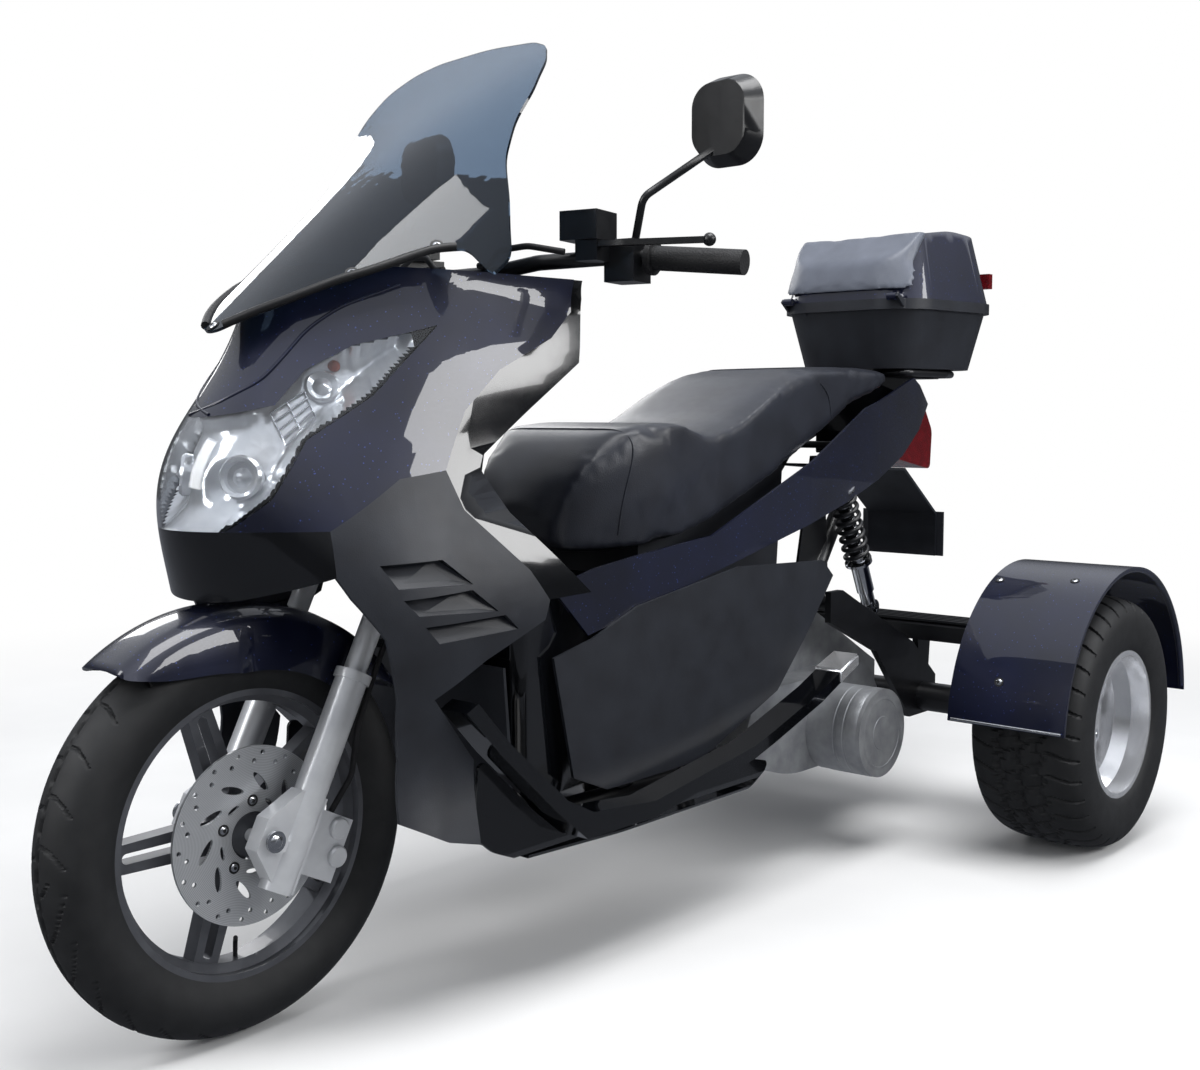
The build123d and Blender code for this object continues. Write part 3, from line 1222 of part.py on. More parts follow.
# Luggage bucket: an open-topped tub under the seat
with BuildPart() as luggage_bucket:
    add(from_side(side_points(BUCKET_SIDE_SHARES), -BUCKET_HALF, BUCKET_HALF))
    add(
        from_side(
            side_points(BUCKET_HOLLOW_SHARES),
            PANEL - BUCKET_HALF,
            BUCKET_HALF - PANEL,
        ),
        mode=Mode.SUBTRACT,
    )
save(luggage_bucket.part, "luggage_bucket")


def frame_tube(row, side, extra):
    """One bent tube of the frame, grown by extra."""
    shares, paired, radius_share = row
    route = [(body_x(x), side * body_y(y), body_z(z)) for x, y, z in shares]
    return tube_along(route, radius_share * FRAME_TUBE_R + extra, [FRAME_BEND_R] * (len(route) - 2))


# Tail: the cover between the side covers, the lamp under it, and the rear mudguard with its flap
tail_cover = from_side(side_points(TAIL_SIDE_SHARES), -TAIL_HALF, TAIL_HALF, TAIL_ROUND_SHARE)
save(tail_cover, "tail_cover")
with BuildPart() as tail_lamp:
    add(from_side(side_points(TAIL_LAMP_SHARES), -TAIL_LAMP_HALF, TAIL_LAMP_HALF, TAIL_ROUND_SHARE))
    add(tail_cover, mode=Mode.SUBTRACT)
save(tail_lamp.part, "tail_lamp")
with BuildPart() as rear_mudguard:
    add(from_side(side_points(MUDGUARD_SHARES), -MUDGUARD_HALF, MUDGUARD_HALF))
    with BuildSketch(
        Plane(
            origin=(body_x(MUDGUARD_SHARES[4][0]) - PLATE_THICK, 0, body_z(PLATE_MIDDLE_SHARE)),
            x_dir=(0, 1, 0),
            z_dir=(1, 0, 0),
        )
    ):
        Rectangle(PLATE_WIDE, PLATE_TALL)
        with GridLocations(PLATE_HOLES_ACROSS, PLATE_HOLES_UP, 2, 2):
            Circle(PLATE_HOLE_R, mode=Mode.SUBTRACT)
    extrude(amount=PLATE_THICK)
    for side in (1, -1):
        add(frame_tube(FRAME_TUBE_SHARES[1], side, CLEAR), mode=Mode.SUBTRACT)
save(rear_mudguard.part, "rear_mudguard")

# Carrier: a grab rail loop on each side and the plate that holds the top box
with BuildPart() as carrier:
    add(from_side(side_points(CARRIER_SHARES), -CARRIER_HALF, CARRIER_HALF))
    for side in (1, -1):
        rail = [(x, side * y, z) for x, y, z in [(body_x(a), body_y(b), body_z(c)) for a, b, c in RAIL_SHARES]]
        add(tube_along(rail, RAIL_R, [RAIL_BEND_R] * (len(rail) - 2)))
save(carrier.part, "carrier")


# Top box: base and lid between a bottom, a rim and a top outline, all wider at the rear
def box_form(levels, inset):
    with BuildPart() as form:
        for grow, z in levels:
            points = [
                (body_x(BOX_REAR_SHARE) - grow + inset, BOX_REAR_HALF + grow - inset),
                (body_x(BOX_FRONT_SHARE) + grow - inset, BOX_FRONT_HALF + grow - inset),
            ]
            points += [(x, -y) for x, y in reversed(points)]
            with BuildSketch(Plane.XY.offset(z)) as level:
                add(outline(points, BOX_ROUND_SHARE))
        loft(ruled=True)
    return form.part


BOX_BOTTOM_Z = body_z(BOX_BOTTOM_SHARE)
BOX_RIM_Z = BOX_BOTTOM_Z + BOX_BASE_HEIGHT
BOX_TOP_Z = BOX_RIM_Z + BOX_LID_HEIGHT
box_low = box_form(((-BOX_TAPER, BOX_BOTTOM_Z), (0, BOX_RIM_Z)), 0)
box_low_inner = box_form(((-BOX_TAPER, BOX_BOTTOM_Z + PANEL), (0, BOX_RIM_Z)), PANEL)
with BuildPart() as top_box_base:
    add(box_low)
    add(box_form(((BOX_BAND, BOX_RIM_Z - BOX_BAND_HEIGHT), (BOX_BAND, BOX_RIM_Z)), 0))
    add(box_low_inner, mode=Mode.SUBTRACT)
    for side in (1, -1):
        ear_y = LID_BARREL_Y[1] + CLEAR
        add(from_side(side_points(LID_EAR_SHARES), *sorted((side * ear_y, side * (ear_y + HINGE_EAR)))))
        pin_ends = sorted((side * LID_BARREL_Y[0], side * (ear_y + HINGE_EAR)))
        add(hinge_pin(LID_HINGE_SHARES, *pin_ends, HINGE_PIN_R, 0))
save(top_box_base.part, "top_box_base")
lid_z = BOX_RIM_Z + CLEAR
box_high = box_form(((0, lid_z), (-BOX_TAPER, BOX_TOP_Z)), 0)
box_high_inner = box_form(((0, lid_z), (-BOX_TAPER, BOX_TOP_Z)), PANEL)
lid_side = side_points(LID_SIDE_SHARES)
lid_side_inner = [(x, z - PANEL) for x, z in lid_side]
with BuildPart() as top_box_lid:
    add(box_high)
    add(from_side(lid_side, -BODY_HALF_WIDTH, BODY_HALF_WIDTH, LID_ROUND_SHARE), mode=Mode.INTERSECT)
with BuildPart() as lid_hollow:
    add(box_high_inner)
    add(from_side(lid_side_inner, -BODY_HALF_WIDTH, BODY_HALF_WIDTH, LID_ROUND_SHARE), mode=Mode.INTERSECT)
with BuildPart() as top_box_lid_shell:
    add(top_box_lid.part)
    add(lid_hollow.part, mode=Mode.SUBTRACT)
    for side in (1, -1):
        barrel_ends = sorted((side * LID_BARREL_Y[0], side * LID_BARREL_Y[1]))
        add(hinge_pin(LID_HINGE_SHARES, *barrel_ends, LID_BARREL_R, 0))
        add(from_side(side_points(LID_ARM_SHARES), *barrel_ends))
        add(hinge_pin(LID_HINGE_SHARES, *barrel_ends, HINGE_PIN_R + CLEAR, 0), mode=Mode.SUBTRACT)
save(top_box_lid_shell.part, "top_box_lid")

# Backrest pad on the lid's front, and the two reflectors at its rear corners
with BuildPart() as backrest_pad:
    add(box_form(((PAD_PROUD, lid_z), (PAD_PROUD - BOX_TAPER, BOX_TOP_Z)), 0))
    add(from_side(side_points(PAD_SIDE_SHARES), -PAD_HALF, PAD_HALF), mode=Mode.INTERSECT)
    add(top_box_lid.part, mode=Mode.SUBTRACT)
save(backrest_pad.part, "backrest_pad")
reflector_x, reflector_y, reflector_z = REFLECTOR_SHARES
with BuildPart() as reflectors:
    for side in (1, -1):
        with Locations((body_x(reflector_x), side * body_y(reflector_y), body_z(reflector_z))):
            Box(REFLECTOR_LONG, REFLECTOR_WIDE, REFLECTOR_TALL)
    add(top_box_lid.part, mode=Mode.SUBTRACT)
save(reflectors.part, "reflectors")

# Frame: head tube, one down tube, two floor rails and two seat rails
with BuildPart() as frame:
    with BuildSketch(STEER_PLANE.offset(HEAD_LOW)):
        Circle(HEAD_R)
        Circle(STEM_R + CLEAR, mode=Mode.SUBTRACT)
    extrude(amount=HEAD_LENGTH)
    for row in FRAME_TUBE_SHARES:
        for side in (1, -1) if row[1] else (1,):
            add(frame_tube(row, side, 0))
    bar_x, bar_z = CROSS_BAR_SHARES
    add(ring(body_x(bar_x), body_z(bar_z), -CROSS_BAR_HALF, CROSS_BAR_HALF, CROSS_BAR_R, 0))
    with BuildSketch(Plane.XZ.offset(-PIVOT_HALF)):
        with Locations((body_x(PIVOT_SHARES[0]), body_z(PIVOT_SHARES[1]))):
            Circle(PIVOT_R)
    extrude(amount=2 * PIVOT_HALF)
    for side in (1, -1):
        plate_y = side * PIVOT_PLATE_Y
        add(from_side(side_points(PIVOT_PLATE_SHARES), plate_y - PANEL / 2, plate_y + PANEL / 2))
        pin_ends = sorted((plate_y, side * (SHOCK_Y - SHOCK_BODY_R - CLEAR)))
        pin_z = body_z(SHOCK_HIGH_SHARES[1]) - 2 * SHOCK_PIN_R
        add(ring(body_x(SHOCK_HIGH_SHARES[0]), pin_z, *pin_ends, SHOCK_PIN_R, 0))
    with BuildSketch(STEER_PLANE.offset(HEAD_LOW)):
        Circle(STEM_R + CLEAR)
    extrude(amount=HEAD_LENGTH, mode=Mode.SUBTRACT)
save(frame.part, "frame")

# Rear axle: a cross tube with hub ends, arms to the frame, and uprights under a tray between the fenders
with BuildPart() as rear_axle_housing:
    add(ring(REAR_AXLE_X, REAR_TYRE_R, -HOUSING_HALF, HOUSING_HALF, HOUSING_R, REAR_SHAFT_R + CLEAR))
    for side in (1, -1):
        add(ring(REAR_AXLE_X, REAR_TYRE_R, side * HOUSING_HALF - HOUSING_END / 2,
                 side * HOUSING_HALF + HOUSING_END / 2, HOUSING_END_R, REAR_SHAFT_R + CLEAR))
        add(from_side(side_points(ARM_SIDE_SHARES), side * ARM_Y - ARM_THICK / 2, side * ARM_Y + ARM_THICK / 2))
        for upright_y in UPRIGHT_Y:
            middle = side * upright_y
            add(from_side(side_points(UPRIGHT_SIDE_SHARES), middle - ARM_THICK / 2, middle + ARM_THICK / 2))
    add(from_side(side_points(TRAY_SIDE_SHARES), -TRAY_HALF, TRAY_HALF))
    add(ring(REAR_AXLE_X, REAR_TYRE_R, -REAR_TRACK, REAR_TRACK, REAR_SHAFT_R + CLEAR, 0), mode=Mode.SUBTRACT)
save(rear_axle_housing.part, "rear_axle_housing")

# Engine, drive case with its drum, exhaust and shock absorbers
save(from_side(side_points(ENGINE_SIDE_SHARES), -ENGINE_HALF, ENGINE_HALF), "engine_block")
with BuildPart() as drive_case:
    add(from_side(side_points(CASE_SIDE_SHARES), ENGINE_HALF, CASE_OUTER_Y, CASE_ROUND_SHARE))
    add(ring(body_x(DRUM_SHARES[0]), body_z(DRUM_SHARES[1]), CASE_OUTER_Y, DRUM_OUTER_Y, DRUM_R, 0))
save(drive_case.part, "drive_case")
exhaust_route = [(body_x(x), -body_y(y), body_z(z)) for x, y, z in EXHAUST_SHARES]
with BuildPart() as exhaust:
    add(tube_along(exhaust_route[:3], EXHAUST_PIPE_R, [EXHAUST_BEND_R]))
    exhaust_way = Vector(*exhaust_route[3]) - Vector(*exhaust_route[2])
    with BuildSketch(Plane(origin=exhaust_route[2], z_dir=exhaust_way)):
        Circle(EXHAUST_R)
    extrude(amount=EXHAUST_LENGTH)
save(exhaust.part, "exhaust")
with BuildPart() as shocks:
    for side in (1, -1):
        low = Vector(body_x(SHOCK_LOW_SHARES[0]), side * SHOCK_Y, body_z(SHOCK_LOW_SHARES[1]))
        high = Vector(body_x(SHOCK_HIGH_SHARES[0]), side * SHOCK_Y, body_z(SHOCK_HIGH_SHARES[1]))
        shock_plane = Plane(origin=low, z_dir=high - low)
        shock_length = (high - low).length
        with BuildSketch(shock_plane):
            Circle(SHOCK_BODY_R)
        extrude(amount=shock_length)
        with BuildSketch(shock_plane.offset(shock_length * SPRING_SHARES[0])):
            Circle(SPRING_R)
        extrude(amount=shock_length * (SPRING_SHARES[1] - SPRING_SHARES[0]))
save(shocks.part, "shocks")

# Rear fenders: half rings over the tyres with an inner side wall, on brackets from the axle
with BuildPart() as rear_fenders:
    add(ring(FENDER_CENTER_X, REAR_TYRE_R, REAR_FENDER_INNER_Y, REAR_FENDER_OUTER_Y, REAR_FENDER_R, 0))
    add(
        ring(FENDER_CENTER_X, REAR_TYRE_R, REAR_FENDER_INNER_Y + PANEL, REAR_FENDER_OUTER_Y + CUT_OVER,
             REAR_FENDER_R - PANEL, 0),
        mode=Mode.SUBTRACT,
    )
    with BuildSketch(Plane.XZ):
        add(outline(side_points(REAR_FENDER_CUT_SHARES)))
    extrude(amount=-2 * REAR_TRACK, mode=Mode.SUBTRACT)
    mirror(about=Plane.XZ)
save(rear_fenders.part, "rear_fenders")
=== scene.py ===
# Looks of the motor trike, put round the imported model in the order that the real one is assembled.
# Lengths are metres; axle centres, turned outlines and treads are millimetres.
import json
import math

import bmesh
import bpy
from mathutils import Matrix, Vector
from mathutils.bvhtree import BVHTree

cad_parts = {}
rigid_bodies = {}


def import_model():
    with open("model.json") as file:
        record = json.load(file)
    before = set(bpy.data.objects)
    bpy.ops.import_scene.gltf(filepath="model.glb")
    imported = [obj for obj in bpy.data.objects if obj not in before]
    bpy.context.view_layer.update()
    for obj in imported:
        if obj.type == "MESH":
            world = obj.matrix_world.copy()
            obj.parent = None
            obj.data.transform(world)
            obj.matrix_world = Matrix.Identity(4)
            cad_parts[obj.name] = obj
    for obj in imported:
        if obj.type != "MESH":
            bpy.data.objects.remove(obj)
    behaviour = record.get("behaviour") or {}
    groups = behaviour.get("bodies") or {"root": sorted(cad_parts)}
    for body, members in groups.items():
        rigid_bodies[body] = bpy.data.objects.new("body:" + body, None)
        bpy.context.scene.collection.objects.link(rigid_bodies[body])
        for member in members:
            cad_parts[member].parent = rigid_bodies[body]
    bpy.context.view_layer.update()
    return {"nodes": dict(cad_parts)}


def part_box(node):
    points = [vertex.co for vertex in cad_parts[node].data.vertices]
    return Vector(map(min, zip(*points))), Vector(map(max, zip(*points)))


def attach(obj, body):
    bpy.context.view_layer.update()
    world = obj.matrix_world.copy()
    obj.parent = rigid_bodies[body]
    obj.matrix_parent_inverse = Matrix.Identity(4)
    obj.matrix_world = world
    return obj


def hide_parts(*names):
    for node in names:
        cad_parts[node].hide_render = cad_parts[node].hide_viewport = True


for stray in list(bpy.data.objects):
    bpy.data.objects.remove(stray)
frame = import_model()

FRONT_AXLE, REAR_AXLE, REAR_TRACK_HALF = (753, 0, 259), (-727, 0, 229), 465
FRONT_X, FRONT_Z = FRONT_AXLE[0] / 1000, FRONT_AXLE[2] / 1000
REAR_X, REAR_Z = REAR_AXLE[0] / 1000, REAR_AXLE[2] / 1000
UP, LEFT = Vector((0, 0, 1)), Vector((0, 1, 0))
NOISE, CELLS = "TexNoise", "TexVoronoi"

# --- Studio ---
# A white cyclorama with one large softbox overhead and three smaller ones, as in a catalogue
# photograph. The floor is pale card that only takes the vehicle's soft shadow.


def linear(hex_code):
    """An sRGB hex colour as linear RGBA."""
    channels = [int(hex_code[i : i + 2], 16) / 255 for i in (1, 3, 5)]
    return tuple(c / 12.92 if c <= 0.04045 else ((c + 0.055) / 1.055) ** 2.4 for c in channels) + (1.0,)


def feed(tree, node, inputs):
    """Sets a node's inputs, each to a value or to the node or socket that it is linked from."""
    for socket, value in inputs.items():
        if isinstance(value, bpy.types.Node):
            value = value.outputs[0]
        if isinstance(value, bpy.types.NodeSocket):
            tree.links.new(value, node.inputs[socket])
        else:
            node.inputs[socket].default_value = value


def add(tree, kind, inputs, **settings):
    """A node with its settings; a kind of the tree's own sort goes without its prefix."""
    sort = "ShaderNode" if tree.type == "SHADER" else "GeometryNode"
    made = tree.nodes.new(kind if "Node" in kind else sort + kind)
    for name, value in settings.items():
        setattr(made, name, value)
    feed(tree, made, inputs)
    return made


scene = bpy.context.scene


def in_scene(name, data):
    """An object that is linked to the scene."""
    made = bpy.data.objects.new(name, data)
    scene.collection.objects.link(made)
    return made


def light_path(tree):
    """The light path's outputs, and 1 for rays seen straight or through glass."""
    path = add(tree, "LightPath", {}).outputs
    straight = {0: path["Is Camera Ray"], 1: path["Is Transmission Ray"]}
    return path, add(tree, "Math", straight, operation="MAXIMUM")


camera = in_scene("camera", bpy.data.cameras.new("camera"))
camera.data.lens = 42.87
camera.data.sensor_width = 36.0
camera.location = (1.7734, 1.5073, 0.7785)
CAMERA_YAW, CAMERA_PITCH = math.radians(41.183), math.radians(4.819)
looking = Vector((
    -math.cos(CAMERA_YAW) * math.cos(CAMERA_PITCH),
    -math.sin(CAMERA_YAW) * math.cos(CAMERA_PITCH),
    -math.sin(CAMERA_PITCH),
))
camera.rotation_euler = looking.to_track_quat("-Z", "Y").to_euler()
scene.camera = camera
scene.view_settings.view_transform = "Standard"

# Each softbox: its place, its width and height, and its power in watts. All face the vehicle's middle.
SOFTBOXES = {
    "overhead_softbox": ((0.2, 0.9, 3.4), (2.4, 1.6), 95),
    "nose_softbox": ((3.2, -0.6, 2.0), (0.9, 1.8), 40),
    "side_softbox": ((-1.2, 3.4, 2.1), (2.6, 0.9), 62),
    "far_softbox": ((-1.5, -3.4, 2.4), (3.0, 1.2), 50),
}
LIT_POINT = Vector((0, 0, 0.5))
for name, (place, size, watts) in SOFTBOXES.items():
    lamp = bpy.data.lights.new(name, "AREA")
    lamp.shape = "RECTANGLE"
    lamp.size, lamp.size_y = size
    lamp.energy = watts
    box = in_scene(name, lamp)
    box.location = place
    box.rotation_euler = (LIT_POINT - Vector(place)).to_track_quat("-Z", "Y").to_euler()

# Polished panels mirror a studio that is white overhead and falls off to dark flags at eye level.
AMBIENT_STRENGTH, FLAG_STRENGTH, FLAG_TOP, OVERHEAD_FROM = 0.55, 0.08, 0.1, 0.75
world = bpy.data.worlds.new("white_studio")
scene.world = world
world.use_nodes = True
sky = world.node_tree
sky.nodes.clear()
path, seen = light_path(sky)
ambient = add(sky, "Background", {"Color": linear("#e6e9ee"), "Strength": AMBIENT_STRENGTH})
backdrop = add(sky, "Background", {"Color": linear("#ffffff"), "Strength": 1.0})
direction = add(sky, "TexCoord", {}).outputs["Generated"]
height = add(sky, "SeparateXYZ", {0: direction}).outputs["Z"]
rise = {0: height, 1: FLAG_TOP, 2: OVERHEAD_FROM, 3: FLAG_STRENGTH, 4: 1.0}
falloff = add(sky, "MapRange", rise, interpolation_type="SMOOTHSTEP")
reflected = add(sky, "Background", {"Color": linear("#eef2fa"), "Strength": falloff})
shown = add(sky, "MixShader", {0: seen, 1: ambient, 2: backdrop})
studio_light = add(sky, "MixShader", {0: path["Is Glossy Ray"], 1: shown, 2: reflected})
add(sky, "OutputWorld", {0: studio_light})


def new_finish(name, inputs):
    """A material with a Principled shader, its tree, that shader and its object coordinates."""
    material = bpy.data.materials.new(name)
    material.use_nodes = True
    tree = material.node_tree
    tree.nodes.clear()
    shader = add(tree, "BsdfPrincipled", inputs)
    add(tree, "OutputMaterial", {"Surface": shader})
    place = add(tree, "TexCoord", {}).outputs["Object"]
    return material, tree, shader, place


def speckle(tree, place, grain_mm, detail=3.0, kind=NOISE):
    """Noise or cells whose grain has a size in millimetres."""
    inputs = {"Vector": place, "Scale": 1000.0 / grain_mm}
    if kind == NOISE:
        inputs["Detail"] = detail
    return add(tree, kind, inputs)


BLEND_FROM, BLEND_TO = 0.3, 0.7


def blend_colours(tree, factor, low, high):
    """Two colours mixed by a pattern."""
    ramp = add(tree, "ValToRGB", {0: factor})
    ramp.color_ramp.elements[0].color = linear(low)
    ramp.color_ramp.elements[1].color = linear(high)
    ramp.color_ramp.elements[0].position = BLEND_FROM
    ramp.color_ramp.elements[1].position = BLEND_TO
    return ramp.outputs[0]


# Wiped surfaces differ in gloss over about 18 mm.
SMEAR_MM, SMEAR_DETAIL, GRAIN_DETAIL, GRAIN_STRENGTH = 18.0, 5.0, 2.0, 0.6


def finish(name, low, high, rough, patch_mm, grain=None, kind=NOISE, **inputs):
    """A finish with patches of colour and gloss, and a grain of (size in mm, depth in m)."""
    sockets = {key.replace("_", " "): value for key, value in inputs.items()}
    material, tree, shader, place = new_finish(name, sockets)
    colour = blend_colours(tree, speckle(tree, place, patch_mm), low, high)
    smears = speckle(tree, place, SMEAR_MM, SMEAR_DETAIL)
    gloss = add(tree, "MapRange", {0: smears, 3: rough[0], 4: rough[1]})
    feed(tree, shader, {"Base Color": colour, "Roughness": gloss})
    if grain:
        cells = speckle(tree, place, grain[0], GRAIN_DETAIL, kind)
        relief = {"Height": cells, "Distance": grain[1], "Strength": GRAIN_STRENGTH}
        feed(tree, shader, {"Normal": add(tree, "Bump", relief)})
    return material


def link_piece(name, mesh, material, body):
    """A finished mesh as a piece that rides on a body."""
    piece = in_scene(name, mesh)
    piece.data.materials.clear()
    piece.data.materials.append(material)
    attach(piece, body)
    return piece


def smooth(mesh, degrees):
    """Shades a mesh smooth, apart from edges sharper than an angle."""
    for face in mesh.polygons:
        face.use_smooth = True
    mesh.set_sharp_from_angle(angle=math.radians(degrees))


def finished(form, name, closed=False):
    """The mesh of a form, which is freed; a closed form's faces are turned outward."""
    if closed:
        bmesh.ops.recalc_face_normals(form, faces=form.faces)
    mesh = bpy.data.meshes.new(name)
    form.to_mesh(mesh)
    form.free()
    return mesh


def baked(holder):
    """A plain mesh of what an object's modifiers or curve give."""
    return bpy.data.meshes.new_from_object(holder.evaluated_get(bpy.context.evaluated_depsgraph_get()))


def dress(material, *nodes):
    """Gives CAD nodes their material."""
    for name in nodes:
        cad = frame["nodes"][name]
        cad.data.materials.clear()
        cad.data.materials.append(material)


# Pale matt card, faintly mottled. Far off it fades into white, and polished parts mirror it grey.
CARD_MOTTLE_MM, CARD_FADE, FLOOR_REACH = 400.0, (1.5, 3.6), 14.0
card, tree, shader, place = new_finish("pale_studio_card", {"Roughness": 0.9, "Specular IOR Level": 0.1})
mottle = blend_colours(tree, speckle(tree, place, CARD_MOTTLE_MM), "#e2e2e2", "#e8e8e8")
feed(tree, shader, {"Base Color": mottle})
reach = add(tree, "VectorMath", {0: place}, operation="LENGTH").outputs["Value"]
fading = {0: reach, 1: CARD_FADE[0], 2: CARD_FADE[1], 3: 0.0, 4: 1.0}
fade = add(tree, "MapRange", fading, interpolation_type="SMOOTHSTEP")
path, seen = light_path(tree)
far_card = add(tree, "Math", {0: fade, 1: seen}, operation="MULTIPLY")
white_card = add(tree, "Emission", {"Color": linear("#ffffff"), "Strength": 1.0})
grey_card = add(tree, "Emission", {"Color": linear("#6a6d74"), "Strength": 1.0})
lit_card = add(tree, "MixShader", {0: far_card, 1: shader, 2: white_card})
whole_card = add(tree, "MixShader", {0: path["Is Glossy Ray"], 1: lit_card, 2: grey_card})
feed(tree, tree.nodes["Material Output"], {"Surface": whole_card})
floor_mesh = bpy.data.meshes.new("studio_floor")
FLOOR_CORNERS = ((-1, -1), (1, -1), (1, 1), (-1, 1))
floor_mesh.from_pydata([(FLOOR_REACH * x, FLOOR_REACH * y, 0) for x, y in FLOOR_CORNERS], [], [(0, 1, 2, 3)])
floor_mesh.materials.append(card)
in_scene("studio_floor", floor_mesh)

# --- Frame and rear axle ---
# Welded steel tube, powder coated in satin black, which shows as slightly uneven gloss.
black_powder_coat = finish(
    "black_powder_coated_steel", "#0b0c0f", "#111216", rough=(0.32, 0.46), patch_mm=40.0,
    grain=(1.2, 0.00006), Coat_Weight=0.15,
)
dress(black_powder_coat, "frame", "rear_axle_housing", "handlebar", "carrier")

# --- Engine, drive case and exhaust ---
# Sand-cast aluminium cases, bead blasted and left bare; the silencer wears heat-proof black paint.
cast_aluminium = finish(
    "bead_blasted_cast_aluminium", "#8b8d91", "#a5a7aa", rough=(0.3, 0.45), patch_mm=30.0,
    grain=(1.5, 0.00015), Metallic=0.6,
)
heat_paint = finish(
    "heat_proof_black_paint", "#161616", "#222121", rough=(0.55, 0.7), patch_mm=30.0, grain=(1.0, 0.0001)
)
dress(cast_aluminium, "engine_block", "drive_case")
dress(heat_paint, "exhaust")

# --- Wheels and brake ---
# Cast alloy: the front one is painted gunmetal, the rear ones are turned and polished deep dishes.
gunmetal = finish(
    "gunmetal_painted_alloy", "#4a4b50", "#595b60", rough=(0.28, 0.4), patch_mm=40.0,
    grain=(0.9, 0.00004), Metallic=0.45, Coat_Weight=0.4,
)
polished_alloy = finish(
    "polished_aluminium", "#dcdde0", "#ebecee", rough=(0.14, 0.26), patch_mm=50.0, grain=(1.1, 0.00002), Metallic=0.8
)
dress(gunmetal, "front_wheel")
dress(polished_alloy, "rear_wheel_left", "rear_wheel_right")

# Ground stainless disc: fine rings turned round the axle.
RING_SCALE, RING_WANDER, RING_DEEP, RING_STRENGTH = 160.0, 0.4, 0.00003, 0.5
steel_look = {"Metallic": 0.6, "Roughness": 0.3, "Anisotropic": 0.3}
disc_steel, tree, shader, place = new_finish("ground_stainless_disc", steel_look)
centred = add(tree, "Mapping", {0: place, "Location": (-FRONT_X, 0.0, -FRONT_Z)})
turning = {"Vector": centred, "Scale": RING_SCALE, "Distortion": RING_WANDER}
rings = add(tree, "TexWave", turning, wave_type="RINGS", rings_direction="Y")
relief = add(tree, "Bump", {"Height": rings, "Distance": RING_DEEP, "Strength": RING_STRENGTH})
feed(tree, shader, {"Base Color": blend_colours(tree, rings, "#9fa1a4", "#bdbfc2"), "Normal": relief})

# --- Tyres ---
# Moulded rubber on a carcass that bulges past the rim, with treads cut 3 to 5 mm deep.
tyre_rubber = finish(
    "moulded_tyre_rubber", "#0f1012", "#17181a", rough=(0.55, 0.72), patch_mm=25.0, grain=(0.8, 0.00015)
)
TURNED_DEGREES = 35


def along(points, steps):
    """Points spread evenly by index along a smooth curve through a list."""
    curve = []
    last = len(points) - 1
    for i in range(steps):
        t = i / (steps - 1) * last
        k = min(int(t), last - 1)
        u = t - k
        p0, p1, p2, p3 = (Vector(points[max(0, min(last, j))]) for j in (k - 1, k, k + 1, k + 2))
        bend = (2 * p0 - 5 * p1 + 4 * p2 - p3) * u * u + (3 * p1 - p0 - 3 * p2 + p3) * u**3
        curve.append(0.5 * (2 * p1 + (p2 - p0) * u + bend))
    return curve


def lathe(profile, centre, steps, depth=None, closed=True):
    """A mesh turned round an axle from (radius, y) pairs; depth(angle, y, radius) cuts into it."""
    rows = []
    form = bmesh.new()
    for i in range(steps):
        angle = 2 * math.pi * i / steps
        row = []
        for radius, y in profile:
            r = radius - (depth(angle, y, radius) if depth else 0.0)
            place = (centre[0] + r * math.cos(angle), centre[1] + y, centre[2] + r * math.sin(angle))
            row.append(form.verts.new([part / 1000 for part in place]))
        rows.append(row)
    count = len(profile)
    for i in range(steps):
        here, after = rows[i], rows[(i + 1) % steps]
        for k in range(count if closed else count - 1):
            form.faces.new((here[k], here[(k + 1) % count], after[(k + 1) % count], after[k]))
    mesh = finished(form, "turned", True)
    smooth(mesh, TURNED_DEGREES)
    return mesh


def turned_at(profile, spot, way, steps=40):
    """An open turned part whose axis points a given way from a spot."""
    mesh = lathe(profile, (0, 0, 0), steps, closed=False)
    mesh.transform(Matrix.Translation(spot) @ LEFT.rotation_difference(way).to_matrix().to_4x4())
    return mesh


GROOVE_SLOPE = 0.6
ONCE = 900  # longer than a tyre is wide, so that a groove isn't repeated


def near(value, period, width):
    """1 within half a width of a multiple of the period, fading to 0 over a slope."""
    off = abs((value + period / 2) % period - period / 2)
    return max(0.0, min(1.0, (width / 2 - off) / GROOVE_SLOPE + 0.5))


# Front tread: staggered sipes that bend back as they leave the crown, and a pair of wavy grooves.
FRONT_SECTION = (
    (180, -33), (190, -38.5), (204, -44), (218, -45.8), (232, -43), (244, -35), (252, -24), (257, -12), (258.8, 0),
)
FRONT_TREAD_R, FRONT_ROUND, FRONT_ACROSS = 236, 900, 34
SWEPT_DEEP, SWEPT_PITCH, SWEPT_WIDE, SWEPT_TAPER, SWEPT_SPAN = 3.4, 58.0, 5.0, 0.06, (5, 36)
SWEPT_STAGGER, SWEPT_BEND, SWEPT_BEND_FROM = 22, 0.028, 6
PAIR_DEEP, PAIR_Y, PAIR_WIDE, PAIR_WAVE, PAIR_WAVES = 3.2, 2.0, 2.6, 1.5, 28

